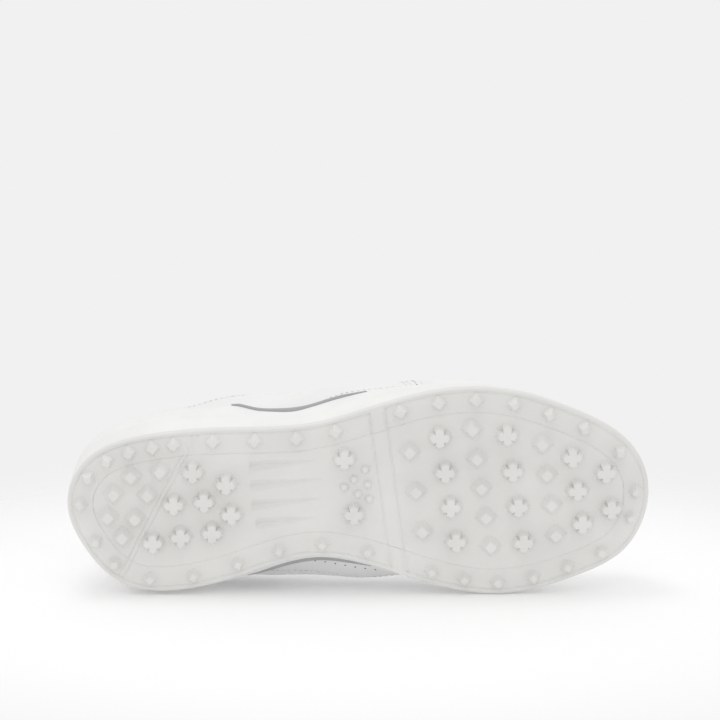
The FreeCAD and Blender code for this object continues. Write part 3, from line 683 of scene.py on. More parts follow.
def lug(mesh, kind, s, x, radius, turn=0.0):
    """Moulded lug with a filleted foot: a truncated pyramid, a steep one with a round notch in the middle
    of each face, or a low dome."""
    count = 72 if kind == "star" else 40
    angle = np.arange(count) * 2 * math.pi / count
    soft = 1.4 if kind == "star" else 1.15
    reach = (np.abs(np.cos(angle)) ** soft + np.abs(np.sin(angle)) ** soft) ** (-1 / soft)
    if kind == "star":
        off_middle = (angle % (math.pi / 2)) - math.pi / 4
        reach = reach * (1 - 0.32 * np.exp(-(off_middle / 0.16) ** 2))
    if kind == "dome":
        reach = np.ones(count)
    steps = {"diamond": LUG_STEPS, "star": STAR_STEPS, "dome": DOME_STEPS}[kind]
    rings = []
    for scale, height in steps:
        ring_x = x + radius * scale * reach * np.cos(angle + turn)
        ring_s = s + radius * scale * reach * np.sin(angle + turn)
        z = plate_bottom(ring_s) - height * np.ones(count)
        rings.append(np.stack([ring_x, SOLE_LENGTH / 2 - ring_s, z], -1))
    buried = rings[0].copy()
    buried[:, 2] += 1.2
    mesh.tube([buried] + rings)


def edge_lugs(mesh):
    """Small lugs round the edge, each with a corner outwards: toe, heel and the listed stations."""
    walk = np.linspace(0, HALF_TURN, 2000)
    turns = [0.0, float(HALF_TURN)]
    for stations, start, direction in ((EDGE_LUGS_LATERAL, 0, 1), (EDGE_LUGS_MEDIAL, FULL_TURN, -1)):
        reached = outline(start + direction * walk, EDGE_LUG_INSET)[1]
        turns += list(start + direction * np.interp(SOLE_LENGTH / 2 - np.array(stations), reached, walk))
    for turn in turns:
        x, y = outline(turn, EDGE_LUG_INSET)
        ahead_x, ahead_y = outline(turn + 0.01, EDGE_LUG_INSET)
        lug(mesh, "diamond", SOLE_LENGTH / 2 - y, x, EDGE_LUG_RADIUS, -math.atan2(ahead_x - x, y - ahead_y))


DOME_STEPS = [(1.15, 0.0), (1.0, 0.3), (0.98, 0.9), (0.85, 1.5), (0.6, 1.95), (0.3, 2.15), (0.12, 2.2)]


def make_outsole():
    mesh = Mesh()
    sole_field(mesh)
    sole_rim(mesh)
    for kind, s, x, step, count in FOREFOOT_ROWS:
        radius = 5.3 if kind == "star" else 4.9
        for i in range(count):
            lug(mesh, kind, s + ROW_SLANT * step * i, x + step * i, radius)
    for s, x in HEEL_DIAMONDS:
        lug(mesh, "diamond", s, x, 4.9)
    for s, x in HEEL_STARS + ARCH_STARS:
        lug(mesh, "star", s, x, 5.3)
    for s, x in ARCH_DOMES:
        lug(mesh, "dome", s, x, 1.75)
    edge_lugs(mesh)
    obj = mesh.build("outsole", [SOLE_WHITE], sharp=38)
    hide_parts("outsole_fore", "outsole_rear")
    bend_at_ball(obj)


# ======================================================================== side wall

PIPING_S = (73.0, 136.0)
PIPING_PROUD = 0.7


def wall_top(turn, y):
    s = SOLE_LENGTH / 2 - y
    medial = (np.asarray(turn) % FULL_TURN) > HALF_TURN
    return np.where(medial, profile(WALL_MEDIAL, s), profile(WALL_LATERAL, s))


def piping_height(s):
    f = np.clip((s - PIPING_S[0]) / (PIPING_S[1] - PIPING_S[0]), 0, 1)
    return 1.7 * np.sin(math.pi * f ** 0.8) ** 0.75


def wall_inner(turn, z):
    """Plan position where the outside of the leather stands at each height."""
    turn = np.asarray(turn) % FULL_TURN
    tau = np.where(turn <= HALF_TURN, turn, FULL_TURN - turn)
    side = np.where(turn <= HALF_TURN, -1.0, 1.0)
    low, high = np.full(tau.shape, 1.05), np.full(tau.shape, 0.5)
    for _ in range(24):
        middle = (low + high) / 2
        below = upper(tau, side * middle, np.full(tau.shape, 3.75))[..., 2] < z
        low, high = np.where(below, middle, low), np.where(below, high, middle)
    point = upper(tau, side * (low + high) / 2, np.full(tau.shape, 3.75))
    return point[..., 0], point[..., 1]


def wall_face(turn, z, inset):
    """Plan position a little inside the wall's flaring outer face at each height."""
    x, y = outline(turn)
    share = smooth_step((z - plate_bottom(SOLE_LENGTH / 2 - y) - PLATE) / FLARE_RISE)
    return outline(turn, inset - flare(turn) * share)


def make_side_wall():
    """The cupsole's wall: a soft concave face, a rounded top edge, and the tapered grey line on its wave, whose
    grey is partly the piping's own colour and partly painted shade.
    """
    turn = np.linspace(0, FULL_TURN, 900, endpoint=False)
    x0, y0 = outline(turn)
    s = SOLE_LENGTH / 2 - y0
    foot_z = plate_bottom(s) + PLATE
    top_z = wall_top(turn, y0) - piping_height(s)
    height = top_z - foot_z
    columns = []
    for f, inset in ((0.0, 2.2), (0.0, 0.55), (0.025, 0.2), (0.06, 0.05), (0.12, 0.0), (0.3, 0.28), (0.5, 0.4),
                     (0.7, 0.35), (0.86, 0.3)):
        z = foot_z + height * f
        columns.append(np.stack([*wall_face(turn, z, inset), z], -1))
    for drop, inset in ((1.1, 0.3), (0.6, 0.42), (0.25, 0.7), (0.06, 1.1), (0.0, 1.6)):
        z = np.maximum(top_z - drop, foot_z + height * 0.87)
        columns.append(np.stack([*wall_face(turn, z, inset), z], -1))
    x, y = wall_inner(turn, top_z)
    columns.append(np.stack([x, y, top_z - 0.02], -1))
    columns.append(np.stack([x, y, top_z - 1.2], -1))
    x, y = outline(turn, FEATHER_INSET - 4.0)
    columns.append(np.stack([x, y, foot_z + 1.0], -1))
    columns.append(np.stack([x, y, foot_z], -1))
    columns.append(columns[0])
    mesh = Mesh()
    mesh.grid(np.stack(columns, 1), wrap=True)
    obj = mesh.build("side_wall", [WALL_WHITE], sharp=50)
    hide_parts("side_wall_fore", "side_wall_rear")
    bend_at_ball(obj)
    for side, name in ((-1, "lateral"), (1, "medial")):
        make_piping(side, name)


def make_piping(side, name):
    stations = np.linspace(PIPING_S[0] + 0.5, PIPING_S[1] - 0.5, 120)
    turn = tau_at(stations)
    turn = turn if side < 0 else FULL_TURN - turn
    x0, y0 = outline(turn)
    s = SOLE_LENGTH / 2 - y0
    top = wall_top(turn, y0)
    low = top - piping_height(s) - 0.05
    inner_x, inner_y = wall_inner(turn, top)
    rings = []
    proud = PIPING_PROUD * np.clip(np.minimum(stations - PIPING_S[0], (PIPING_S[1] - stations) / 3) / 4, 0.1, 1)
    for out, share in ((0.0, 0.0), (0.75, 0.15), (1.0, 0.45), (0.95, 0.7), (0.6, 0.95), (0.1, 1.0)):
        z = low + (top - low) * share
        rings.append(np.stack([*wall_face(turn, z, 0.3 - out * (proud + 0.3)), z], -1))
    rings.append(np.stack([inner_x, inner_y, top], -1))
    rings.append(np.stack([inner_x, inner_y, low], -1))
    rings = np.stack(rings, 1)
    mesh = Mesh()
    mesh.tube(rings)
    # the grey line carries painted shade as well as the piping's own grey
    obj = mesh.build("wave_line_" + name, [PIPING_GREY_AND_SHADE], sharp=45)
    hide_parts("wave_piping_" + name)
    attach(obj, "rearfoot")


make_outsole()
make_side_wall()


# ======================================================================== inner sole

def slab(name, node, bottom, top, insets, material, raised=0.0):
    """Layer that fills the sole from one height to another, with a soft rounded upper edge."""
    turn = np.linspace(0, FULL_TURN, 360, endpoint=False)
    bottom_inset, top_inset = insets
    columns = []
    follow = FLARE_SHARE * flare(turn)
    x, y = outline(turn, bottom_inset)
    x, y = x * 0 + RIDGE_X, y * 0.8
    columns.append(np.stack([x, y, bottom(SOLE_LENGTH / 2 - y)], -1))
    for inset, share in ((bottom_inset, 0.0), (bottom_inset, 0.1), (top_inset, 0.85), (top_inset + 0.5, 0.97),
                         (top_inset + 1.6, 1.0)):
        x, y = outline(turn, inset - follow)
        s = SOLE_LENGTH / 2 - y
        columns.append(np.stack([x, y, bottom(s) + (top(s) - bottom(s)) * share], -1))
    x, y = outline(turn, top_inset + 7 - follow)
    columns.append(np.stack([x, y, top(SOLE_LENGTH / 2 - y) - raised], -1))
    x, y = x * 0 + RIDGE_X, y * 0.8
    columns.append(np.stack([x, y, top(SOLE_LENGTH / 2 - y) - raised], -1))
    mesh = Mesh()
    mesh.grid(np.stack(columns, 1), wrap=True)
    obj = mesh.build(name, [material], sharp=50)
    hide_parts(node + "_fore", node + "_rear")
    bend_at_ball(obj)


def make_inner_sole():
    def plate_top(s):
        return plate_bottom(s) + PLATE + 0.05

    def board_top(s):
        return midsole_top(s) + 1.8

    slab("midsole_foam", "midsole", plate_top, midsole_top, (4.4, 4.4), FOAM)
    slab("insole_board_sheet", "insole_board", midsole_top, board_top, (8.6, 8.4), BOARD)
    slab("footbed_cushion", "footbed", board_top, footbed_top, (8.9, 8.6), FOOTBED, 0.8)


# ======================================================================== panels of the upper

THROAT_STRAIGHT = (92.0, 138.0)
THROAT_HALF = (10.5, 8.2)
THROAT_END = 146.0
SEAM_FOOT = (163.0, 13.0)
SEAM_TOP = (149.0, 80.0)
EYESTAY_WIDTH = 7.4
LEATHER_INNER, LEATHER_OUTER = 2.35, 3.85


def station(points):
    return SOLE_LENGTH / 2 - points[..., 1]


def seam_station(z):
    f = (np.asarray(z) - SEAM_FOOT[1]) / (SEAM_TOP[1] - SEAM_FOOT[1])
    return SEAM_FOOT[0] + (SEAM_TOP[0] - SEAM_FOOT[0]) * np.clip(f, -0.2, 1.2)


def throat_half(s):
    f = (s - THROAT_STRAIGHT[0]) / (THROAT_STRAIGHT[1] - THROAT_STRAIGHT[0])
    round_end = np.clip((s - THROAT_STRAIGHT[1]) / (THROAT_END - THROAT_STRAIGHT[1]), 0, 1)
    half = THROAT_HALF[0] + (THROAT_HALF[1] - THROAT_HALF[0]) * np.clip(f, -1, 1)
    return half * np.sqrt(1 - round_end ** 2)


def below_top_edge(points):
    """True where a point is under the collar's top edge and outside the throat."""
    s = station(points)
    clear = np.abs(points[..., 0] - RIDGE_X) > throat_half(s)
    return (points[..., 2] < profile(TOPLINE, s) - 1.5) & (clear | (s > THROAT_END) | (s < 86))


def solve_u(tau, side, holds, distance, low=1.02):
    """Where, going up one side from the sole, a test on the surface stops holding."""
    low, high = np.full(tau.shape, low), np.zeros(tau.shape)
    for _ in range(26):
        middle = (low + high) / 2
        ok = holds(upper(tau, side * middle, np.full(tau.shape, distance)))
        low, high = np.where(ok, middle, low), np.where(ok, high, middle)
    return side * (low + high) / 2


TAU_DENSE = np.linspace(0, HALF_TURN, 700)
TOP_U = {side: solve_u(TAU_DENSE, side, below_top_edge, LEATHER_OUTER) for side in (-1, 1)}


def between_sole_and_top(tau, side, rise):
    """u at a share of the way from the sole edge up to the top edge."""
    top = np.interp(tau, TAU_DENSE, TOP_U[side])
    return side * 1.03 + (top - side * 1.03) * rise


def seam_tau(side, rise, behind=0.0):
    """tau of the front seam at a share of the height, moved back by some millimetres."""
    low, high = np.full(np.shape(rise), 0.5), np.full(np.shape(rise), 8.0)
    for _ in range(30):
        middle = (low + high) / 2
        points = upper(middle, between_sole_and_top(middle, side, rise), np.full(middle.shape, LEATHER_OUTER))
        ahead = station(points) > seam_station(points[..., 2]) - behind
        low, high = np.where(ahead, middle, low), np.where(ahead, high, middle)
    return (low + high) / 2


def lift(tau, u):
    """How far the quarter rises over the vamp next to their seam."""
    points = upper(tau, u, np.full(np.shape(tau), LEATHER_OUTER))
    behind = seam_station(points[..., 2]) - station(points)
    return 1.0 * smooth_step((12 - behind) / 6)


def edge_steps(count, length, radius):
    """Shares from 0 to 1, packed close together at both ends so that an edge can be rounded."""
    near = np.array([0, 0.08, 0.25, 0.55, 1.0]) * radius / length
    return np.concatenate([near, np.linspace(near[-1], 1 - near[-1], count)[1:-1], 1 - near[::-1]])


def sheet_lengths(surface, distance):
    a, b = np.meshgrid(np.linspace(0, 1, 25), np.linspace(0, 1, 25), indexing="ij")
    points = upper(*surface(a, b), np.full(a.shape, distance))
    along = np.linalg.norm(np.diff(points, axis=0), axis=-1).sum(0).mean()
    across = np.linalg.norm(np.diff(points, axis=1), axis=-1).sum(1).mean()
    return along, across


def panel(mesh, surface, span, counts, radius=0.6, raise_by=None, rounded=(1, 1, 1, 1)):
    """Solid sheet over a region of the foot surface, with rounded edges where asked.
    surface(a, b) gives (tau, u); a and b run from 0 to 1. rounded: a=0, a=1, b=0, b=1."""
    along, across = sheet_lengths(surface, span[1])
    a, b = np.meshgrid(edge_steps(counts[0], along, radius),
                       edge_steps(counts[1], across, radius), indexing="ij")
    tau, u = surface(a, b)
    far = 1e3
    depth = np.minimum.reduce([a * along if rounded[0] else far + a, (1 - a) * along if rounded[1] else far + a,
                               b * across if rounded[2] else far + a,
                                (1 - b) * across if rounded[3] else far + a])
    drop = radius * (1 - np.sqrt(1 - (1 - np.clip(depth / radius, 0, 1)) ** 2))
    raised = raise_by(tau, u) if raise_by else np.zeros_like(a)
    outer = upper(tau, u, span[1] + raised - drop)
    inner = upper(tau, u, span[0] + raised)
    mesh.grid(outer)
    mesh.grid(inner, flip=True)
    edge_walls(mesh, outer, inner)


def zigzag(share, length, pitch, height):
    return height * (2 * np.abs((share * length / pitch) % 1.0 - 0.5) - 0.5)


QUARTER_FRONT = 80.0


def quarter_surface(side):
    def surface(a, b):
        front = seam_tau(side, b) + zigzag(b, QUARTER_FRONT, 2.2, 0.02) * np.clip(1 - a * 40, 0, 1)
        tau = front + (HALF_TURN - front) * a
        return tau, between_sole_and_top(tau, side, b)
    return surface


def make_quarters():
    for side, name in ((-1, "lateral"), (1, "medial")):
        mesh = Mesh()
        panel(mesh, quarter_surface(side), (LEATHER_INNER, LEATHER_OUTER), (190, 150), 0.5, lift, (1, 0, 0, 1))
        obj = mesh.build("quarter_panel_" + name, [LEATHER], weld=0.004, sharp=45)
        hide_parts("quarter_" + name)
        bend_at_ball(obj)


def vamp_surface(a, b):
    """a runs from the lateral seam round the toe to the medial seam, b from the sole up to the ridge."""
    side = np.where(a < 0.5, -1.0, 1.0)
    reach = np.abs(2 * a - 1)
    back = np.where(a < 0.5, seam_tau(-1, b, 4.0), seam_tau(1, b, 4.0))
    tau = back * reach
    return tau, side * (1.03 - 1.03 * b)


def vamp_thin(tau, u):
    """The vamp is skived where the quarter covers it."""
    points = upper(tau, u, np.full(np.shape(tau), LEATHER_OUTER))
    behind = seam_station(points[..., 2]) - station(points)
    return -0.45 * smooth_step((behind + 1.0) / 2.0)


def make_vamp():
    mesh = Mesh()
    panel(mesh, vamp_surface, (LEATHER_INNER - 0.1, LEATHER_OUTER), (260, 110), 0.4, vamp_thin, (1, 1, 0, 0))
    obj = mesh.build("vamp_panel", [LEATHER], weld=0.004, sharp=60)
    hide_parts("vamp_fore", "vamp_rear")
    bend_at_ball(obj)


def lining_fill(tau, u):
    """The lining is backed up to the leather everywhere but over the toe puff and the heel counter."""
    s = s_at(tau)
    return 1.3 * smooth_step((s - 78) / 6) * smooth_step((208 - s) / 6)


def make_lining():
    for side, name in ((-1, "lateral"), (1, "medial")):
        a, b = np.meshgrid(np.linspace(0, 1, 200), np.linspace(0, 1, 70), indexing="ij")
        tau, u = HALF_TURN * a, between_sole_and_top(HALF_TURN * a, side, b)
        outer = upper(tau, u, 0.85 + lining_fill(tau, u))
        inner = upper(tau, u, np.full(a.shape, 0.03))
        mesh = Mesh()
        mesh.grid(outer)
        mesh.grid(inner, flip=True)
        edge_walls(mesh, outer, inner)
        obj = mesh.build("lining_" + name, [LINING], weld=0.004, sharp=60)
        if side < 0:
            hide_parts("quarter_lining", "vamp_lining_fore")
        bend_at_ball(obj)


# ---- plan positions over the instep

def locate(s, w):
    """(tau, u) of the foot surface's point at a station and a signed distance from the ridge line."""
    s, w = np.broadcast_arrays(np.asarray(s, float), np.asarray(w, float))
    side = np.where(w < 0, -1.0, 1.0)
    low, high = np.full(s.shape, 0.3), np.full(s.shape, float(HALF_TURN))
    for _ in range(34):
        tau = (low + high) / 2
        t = np.where(side < 0, tau, FULL_TURN - tau)
        x, y = outline(t, FEATHER_INSET - FLARE_SHARE * flare(t))
        c = ridge_station(SOLE_LENGTH / 2 - on_ring(CONTROL_Y, t))
        inward = 1 - np.clip(np.abs(w) / np.abs(x - RIDGE_X), 0, 1)
        here = (SOLE_LENGTH / 2 - y) * (1 - inward) + c * inward
        ahead = here > s
        low, high = np.where(ahead, tau, low), np.where(ahead, high, tau)
    power = 2 / profile(FULLNESS, c)
    angle = np.arccos(np.clip(np.abs(w) / np.abs(x - RIDGE_X), 0, 1) ** (1 / power))
    return tau, side * (1 - angle / (math.pi / 2))


def throat_path(share):
    """Edge of the throat from its top to its closed end: station, half width and outward direction."""
    straight = THROAT_STRAIGHT[1] - THROAT_STRAIGHT[0]
    total = straight + 11.5
    walked = share * total
    f = np.clip(walked / straight, 0, 1)
    turn = np.clip((walked - straight) / 11.5, 0, 1) * math.pi / 2
    deep = THROAT_END - THROAT_STRAIGHT[1]
    s = THROAT_STRAIGHT[0] + straight * f + deep * np.sin(turn)
    half = (THROAT_HALF[0] + (THROAT_HALF[1] - THROAT_HALF[0]) * f) * np.cos(turn)
    normal_s, normal_w = np.sin(turn) * THROAT_HALF[1], np.cos(turn) * deep
    size = np.hypot(normal_s, normal_w)
    return s, half, normal_s / size, normal_w / size


def eyestay_surface(side):
    def surface(a, b):
        s, half, along, outward = throat_path(a * 0.97)
        width = (EYESTAY_WIDTH - 3.4 * smooth_step((a - 0.8) / 0.2)) * b
        return locate(s + along * width, side * (half + outward * width))
    return surface


def make_eyestays():
    for side, name in ((-1, "lateral"), (1, "medial")):
        mesh = Mesh()
        panel(mesh, eyestay_surface(side), (LEATHER_OUTER + 0.03, 5.0), (110, 26), 0.45, lift)
        obj = mesh.build("eyestay_panel_" + name, [LEATHER], weld=0.004, sharp=45)
        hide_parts("eyestay_" + name)
        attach(obj, "rearfoot")


# ---- heel

PATCH_FOOT = (30.0, 22.4)
PATCH_TOP = (77.0, 13.0)
LABEL_WIDTH = 9.0
LABEL_HEIGHTS = (34.0, 43.0)


def heel_point(turn, z, distance):
    """(tau, u) round the back of the heel at a height. turn runs from the lateral to the medial side."""
    turn, z = np.broadcast_arrays(np.asarray(turn, float), np.asarray(z, float))
    tau = np.where(turn <= HALF_TURN, turn, FULL_TURN - turn)
    side = np.where(turn <= HALF_TURN, -1.0, 1.0)
    u = solve_u(tau, side, lambda points: points[..., 2] < z, distance, 1.3)
    return tau, u


def turn_at(s, z, side, distance):
    """Turn round the heel where the surface at a height passes a station."""
    low, high = np.full(np.shape(z), 7.0), np.full(np.shape(z), float(HALF_TURN))
    for _ in range(24):
        middle = (low + high) / 2
        turn = middle if side < 0 else FULL_TURN - middle
        ahead = station(upper(*heel_point(turn, z, distance), np.full(np.shape(z), distance))) > s
        low, high = np.where(ahead, middle, low), np.where(ahead, high, middle)
    return middle if side < 0 else FULL_TURN - middle


def heel_surface(edge_station, low, high, distance):
    """Region round the heel between two heights and forward to a station on both sides."""
    heights = np.linspace(low, high, 40)
    stations = edge_station(heights)
    lateral = turn_at(stations, heights, -1, distance)
    medial = turn_at(stations, heights, 1, distance)

    def surface(a, b):
        z = low + (high - low) * b
        start, end = np.interp(z, heights, lateral), np.interp(z, heights, medial)
        return heel_point(start + (end - start) * a, z, distance)
    return surface


def patch_station(z):
    f = (z - PATCH_FOOT[0]) / (PATCH_TOP[0] - PATCH_FOOT[0])
    return PATCH_FOOT[1] + (PATCH_TOP[1] - PATCH_FOOT[1]) * f


def label_turn(z):
    tau, u = heel_point(np.full(z.shape, HALF_TURN - 0.2), z, 5.7)
    x = upper(tau, u, np.full(z.shape, 5.7))[..., 0]
    return 0.2 * (LABEL_WIDTH / 2) / np.abs(x - HEEL_BACK_X)


HEEL_PATCH = heel_surface(patch_station, PATCH_FOOT[0], PATCH_TOP[0], 4.5)


def make_heel():
    mesh = Mesh()
    panel(mesh, HEEL_PATCH, (LEATHER_OUTER + 0.03, 5.0), (90, 70), 0.45, None, (1, 1, 0, 1))
    obj = mesh.build("heel_patch_panel", [LEATHER], weld=0.004, sharp=45)
    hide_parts("heel_patch")
    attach(obj, "rearfoot")
    mesh = Mesh()

    def label_surface(a, b):
        z = LABEL_HEIGHTS[0] + (LABEL_HEIGHTS[1] - LABEL_HEIGHTS[0]) * b
        return heel_point(HALF_TURN + (2 * a - 1) * label_turn(z), z, 5.6)

    panel(mesh, label_surface, (5.05, 5.95), (20, 20), 0.3)
    obj = mesh.build("heel_label_tab", [LABEL_RED], weld=0.004, sharp=45)
    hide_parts("heel_label")
    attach(obj, "rearfoot")


# ---- collar

COLLAR_LOW = 50.0
COLLAR_FRONT_S = 91.5


def collar_turns(count):
    front = float(tau_at(COLLAR_FRONT_S))
    return np.linspace(front, FULL_TURN - front, count)


def collar_edge(turn, distance, rise=0.0):
    """Point under or over the top edge at a distance from the foot surface."""
    tau = np.where(turn <= HALF_TURN, turn, FULL_TURN - turn)
    side = np.where(turn <= HALF_TURN, -1, 1)
    u = np.where(side < 0, np.interp(tau, TAU_DENSE, TOP_U[-1]), np.interp(tau, TAU_DENSE, TOP_U[1]))
    points = upper(tau, u, distance)
    points[..., 2] += rise
    return points


def make_collar():
    """Padded collar: foam under a knit lining that swells inwards and is sewn down along its foot."""
    turn = collar_turns(320)
    tau = np.where(turn <= HALF_TURN, turn, FULL_TURN - turn)
    side = np.where(turn <= HALF_TURN, -1.0, 1.0)
    top = np.where(side < 0, np.interp(tau, TAU_DENSE, TOP_U[-1]), np.interp(tau, TAU_DENSE, TOP_U[1]))
    low = solve_u(tau, side, lambda points: points[..., 2] < COLLAR_LOW, -1.7, 1.3)
    angle = np.linspace(0, 2 * math.pi, 40, endpoint=False)
    share = 0.5 - 0.5 * np.sign(np.cos(angle)) * np.abs(np.cos(angle)) ** 0.7
    swell = np.sin(angle)
    rings = []
    fade = smooth_step((turn - turn[0]) / 0.35) * smooth_step((turn[-1] - turn) / 0.35)
    for f, out in zip(share, swell):
        u = low + (top - low) * f
        crown = 3.1 + 1.9 * f ** 0.7
        puckers = 0.16 * np.sin(turn * 34) * math.exp(-((f - 0.1) / 0.14) ** 2)
        inward = -0.12 - (crown * fade + 0.6) * abs(out) ** 0.8 + puckers
        distance = inward if out < 0 else -0.1 + 0.05 * out
        rings.append(upper(tau, u, distance * np.ones_like(turn)))
    mesh = Mesh()
    mesh.tube(np.stack(rings, 1))
    obj = mesh.build("collar_pad", [LINING], sharp=70)
    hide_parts("collar_foam", "collar_lining")
    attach(obj, "rearfoot")
    make_binding()


def make_binding():
    """Rolled leather binding over the collar's top edge."""
    turn = collar_turns(360)
    fade = smooth_step((turn - turn[0]) / 0.3) * smooth_step((turn[-1] - turn) / 0.3)
    angle = np.linspace(0, 2 * math.pi, 28, endpoint=False)
    rings = []
    for phi in angle:
        half_width = 2.6 + 1.75 * fade
        centre = LEATHER_OUTER + 0.25 - half_width
        distance = centre + half_width * math.cos(phi)
        height = math.sin(phi)
        rise = (1.55 if height > 0 else 0.9) * np.sign(height) * abs(height) ** 0.75
        rings.append(collar_edge(turn, distance, 0.35 + rise * (0.55 + 0.45 * fade)))
    mesh = Mesh()
    mesh.tube(np.stack(rings, 1))
    obj = mesh.build("collar_binding", [LEATHER], sharp=70)
    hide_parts("topline_binding")
    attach(obj, "rearfoot")


# ---- tongue

TONGUE_S = (70.5, 157.5)
TONGUE_HALF = 16.8


def make_tongue():
    """Padded tongue: a leather face with foam behind it, thin at its sewn edges and full along the middle."""
    stations = np.linspace(TONGUE_S[0], TONGUE_S[1], 120)
    tip = np.clip((stations - TONGUE_S[0]) / 9.0, 0, 1)
    half = TONGUE_HALF * (0.62 + 0.38 * np.sqrt(1 - (1 - tip) ** 2))
    angle = np.linspace(0, 2 * math.pi, 64, endpoint=False)
    reach = np.sign(np.cos(angle)) * np.abs(np.cos(angle)) ** 0.55
    face = np.sin(angle)
    rings = []
    for r, height in zip(reach, face):
        w = half * r
        tau, u = locate(stations, np.where(np.abs(w) < 0.02, 0.02, w))
        crown = smooth_step(tip / 1.2) * 0.35 + 0.65 * np.sqrt(1 - (1 - tip) ** 2)
        channel = 0.22 * math.exp(-((abs(r) - 0.82) / 0.035) ** 2)
        if height >= 0:
            distance = -2.3 + crown * (1.75 * abs(height) ** 0.7) - channel
        else:
            distance = -2.3 - crown * (2.4 * abs(height) ** 0.7) + channel
        rings.append(upper(tau, u, distance))
    mesh = Mesh()
    mesh.tube(np.stack(rings, 1))
    mesh.slots = [int(math.sin((i % 64 + 0.5) * 2 * math.pi / 64) <= -0.1) for i in range(len(mesh.faces))]
    obj = mesh.build("tongue_pad", [TONGUE_LEATHER, LINING], sharp=70)
    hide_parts("tongue_face", "tongue_foam", "tongue_lining", "tongue_top_face", "tongue_top_foam",
                "tongue_top_lining")
    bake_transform(obj)


# ---- eyelets and lace

LACE_ROWS = 5
LACE_FIRST_S = 105.0
LACE_PITCH = 9.0
EYELET_REACH = 3.9
EYELET_PROFILE = [(1.5, -2.2), (1.5, 0.15), (1.62, 0.42), (1.9, 0.6), (2.3, 0.6), (2.6, 0.42), (2.72, 0.1),
                  (2.72, -0.05)]
LACE_HALF_WIDTH = 2.45


def lace_stations():
    return LACE_FIRST_S + LACE_PITCH * np.arange(LACE_ROWS)


def make_eyelets():
    for side, name in ((-1, "lateral"), (1, "medial")):
        mesh = Mesh()
        for s in lace_stations():
            tau, u = locate(s, side * (throat_half(s) + EYELET_REACH))
            centre, axis = upper(tau, u, 5.0), foot_normal(tau, u)
            first = np.cross(axis, (0, 1, 0))
            first /= np.linalg.norm(first)
            second = np.cross(axis, first)
            phi = np.linspace(0, 2 * math.pi, 36, endpoint=False)
            circle = np.cos(phi)[:, None] * first + np.sin(phi)[:, None] * second
            rings = [centre + axis * height + circle * radius for radius, height in EYELET_PROFILE]
            rings = np.stack(rings + [rings[0]], 1)
            mesh.grid(rings, wrap=True)
        obj = mesh.build("eyelet_rings_" + name, [EYELET_METAL], weld=0.002, sharp=50)
        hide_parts("eyelets_" + name)
        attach(obj, "rearfoot")


def make_lace():
    """Flat woven lace: five straight bars, each turned down into an eyelet at both ends."""
    mesh = Mesh()
    for s in lace_stations():
        reach = throat_half(s) + EYELET_REACH
        share = np.linspace(-1, 1, 90)
        w = share * reach
        dip = smooth_step((np.abs(share) * reach - (reach - 3.0)) / 3.0)
        narrow = 1 - 0.52 * dip
        angle = np.linspace(0, 2 * math.pi, 40, endpoint=False)
        rings = []
        for phi in angle:
            flat = np.sign(math.cos(phi)) * abs(math.cos(phi)) ** 0.45
            thick = np.sign(math.sin(phi)) * abs(math.sin(phi)) ** 0.75
            weave = 0.07 * math.copysign(1, thick) * np.sin(w * 5.2 + abs(flat) * 7.0)
            tau, u = locate(s + LACE_HALF_WIDTH * flat * narrow, np.where(np.abs(w) < 0.02, 0.02, w))
            distance = 6.35 - 2.1 * dip ** 2 + 0.55 * thick + weave * (abs(flat) < 0.9)
            rings.append(upper(tau, u, distance))
        mesh.tube(np.stack(rings, 1))
    obj = mesh.build("lace_bars", [LACE_WHITE], sharp=80)
    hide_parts("lace")
    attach(obj, "rearfoot")


# ---- stitches and punched holes

def path_points(tau, u, pitch):
    """Even places along a path on the foot surface."""
    points = upper(tau, u, np.full(tau.shape, LEATHER_OUTER))
    walked = np.concatenate([[0], np.cumsum(np.linalg.norm(np.diff(points, axis=0), axis=-1))])
    places = np.arange(pitch / 2, walked[-1], pitch)
    return np.interp(places, walked, tau), np.interp(places, walked, u)


def stitch_row(mesh, tau, u, distance, pitch=2.6, length=1.9, radius=0.24):
    """Row of short thread loops that dive into the leather at both ends."""
    points = upper(tau, u, np.full(tau.shape, LEATHER_OUTER))
    walked = np.concatenate([[0], np.cumsum(np.linalg.norm(np.diff(points, axis=0), axis=-1))])
    phi = np.linspace(0, 2 * math.pi, 6, endpoint=False)
    for middle in np.arange(pitch / 2, walked[-1], pitch):
        steps = np.linspace(-0.5, 0.5, 5) * length + middle
        here_tau, here_u = np.interp(steps, walked, tau), np.interp(steps, walked, u)
        over = distance(here_tau, here_u) if callable(distance) else np.full(5, distance)
        rise = np.array([-0.2, 0.1, 0.17, 0.1, -0.2])
        centre = upper(here_tau, here_u, over + rise)
        axis = foot_normal(here_tau, here_u)
        along = centre[-1] - centre[0]
        along /= max(np.linalg.norm(along), 1e-9)
        across = np.cross(along, axis)
        size = radius * np.array([0.6, 1.0, 1.05, 1.0, 0.6])[:, None, None]
        rings = centre[:, None] + size * (np.cos(phi)[None, :, None] * across[:, None]
                                          + np.sin(phi)[None, :, None] * axis[:, None] * 0.8)
        mesh.tube(rings)


def hole_row(mesh, tau, u, distance, pitch, radius):
    """Row of punched holes, each a shallow dish painted dark as the shade inside a hole, with a pressed rim."""
    here_tau, here_u = path_points(tau, u, pitch)
    over = distance(here_tau, here_u) if callable(distance) else np.full(here_tau.shape, distance)
    centres, axes = upper(here_tau, here_u, over), foot_normal(here_tau, here_u)
    phi = np.linspace(0, 2 * math.pi, 12, endpoint=False)
    for centre, axis in zip(centres, axes):
        first = np.cross(axis, (0.1, 0.2, 1.0))
        first /= np.linalg.norm(first)
        second = np.cross(axis, first)
        circle = np.cos(phi)[:, None] * first + np.sin(phi)[:, None] * second
        rings = [centre + axis * height + circle * radius * size
                 for size, height in ((1.0, -0.25), (1.0, 0.02), (0.86, 0.05), (0.7, 0.02))]
        mesh.tube(np.stack(rings))


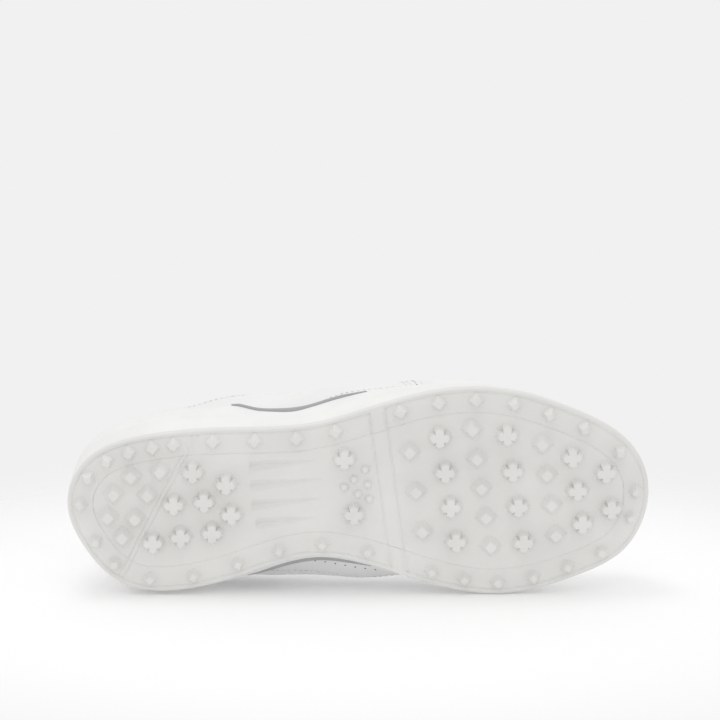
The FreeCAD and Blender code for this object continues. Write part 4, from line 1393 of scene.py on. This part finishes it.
def offset_path(side, stations, drop):
    """Path a set distance above the wall's top edge."""
    tau = tau_at(stations)
    turn = tau if side < 0 else FULL_TURN - tau
    x, y = outline(turn)
    z = wall_top(turn, y) + drop
    low, high = np.full(tau.shape, 1.05), np.full(tau.shape, 0.2)
    for _ in range(24):
        middle = (low + high) / 2
        below = upper(tau, side * middle, np.full(tau.shape, LEATHER_OUTER))[..., 2] < z
        low, high = np.where(below, middle, low), np.where(below, high, middle)
    return tau, side * (low + high) / 2


def on_leather(tau, u):
    return LEATHER_OUTER + lift(tau, u)


def make_stitching():
    seams, stays, holes = Mesh(), Mesh(), Mesh()
    for side in (-1, 1):
        rise = np.linspace(0.12, 0.97, 260)
        for back, pitch in ((4.6, 2.6), (6.6, 2.6)):
            tau = seam_tau(side, rise, back)
            stitch_row(seams, tau, between_sole_and_top(tau, side, rise), on_leather, pitch)
        tau = seam_tau(side, rise, 2.4)
        hole_row(holes, tau, between_sole_and_top(tau, side, rise), on_leather, 2.6, 0.42)
        wave = np.linspace(70, 136, 200)
        hole_row(holes, *offset_path(side, wave, 3.2), LEATHER_OUTER, 4.6, 0.42)
        stitch_row(seams, *offset_path(side, np.linspace(62, 146, 200), 8.8), LEATHER_OUTER)
        collar = np.linspace(float(tau_at(90)), 8.55, 300)
        for down in (0.04, 0.075):
            stitch_row(stays, collar, between_sole_and_top(collar, side, 1 - down * np.ones(300)),
                       LEATHER_OUTER)
        for b in (0.17, 0.86):
            a = np.linspace(0.02, 0.98, 200)
            tau, u = eyestay_surface(side)(a, np.full(200, b))
            stitch_row(stays, tau, u, lambda tau, u: 5.0 + lift(tau, u), 2.4, 1.75, 0.22)
        rise = np.linspace(0.04, 0.95, 120)
        tau, u = HEEL_PATCH(np.full(120, 0.05 if side < 0 else 0.95), rise)
        stitch_row(stays, tau, u, 5.0)
    seams_obj = seams.build("upper_stitches", [THREAD])
    stays_obj = stays.build("edge_stitches", [THREAD])
    holes_obj = holes.build("punched_holes", [HOLE_SHADE_DARK], sharp=40)
    for obj in (seams_obj, holes_obj):
        bend_at_ball(obj)
    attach(stays_obj, "rearfoot")


# ---- CAD nodes that stay

def dress_nodes():
    dress = {"heel_cushion": GEL, "shank": NYLON, "toe_puff": BOARD, "heel_counter": BOARD}
    for name, material in dress.items():
        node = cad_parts[name]
        node.data.materials.clear()
        node.data.materials.append(material)


make_inner_sole()
make_vamp()
make_quarters()
make_lining()
make_eyestays()
make_heel()
make_collar()
make_tongue()
make_eyelets()
make_lace()
make_stitching()
dress_nodes()
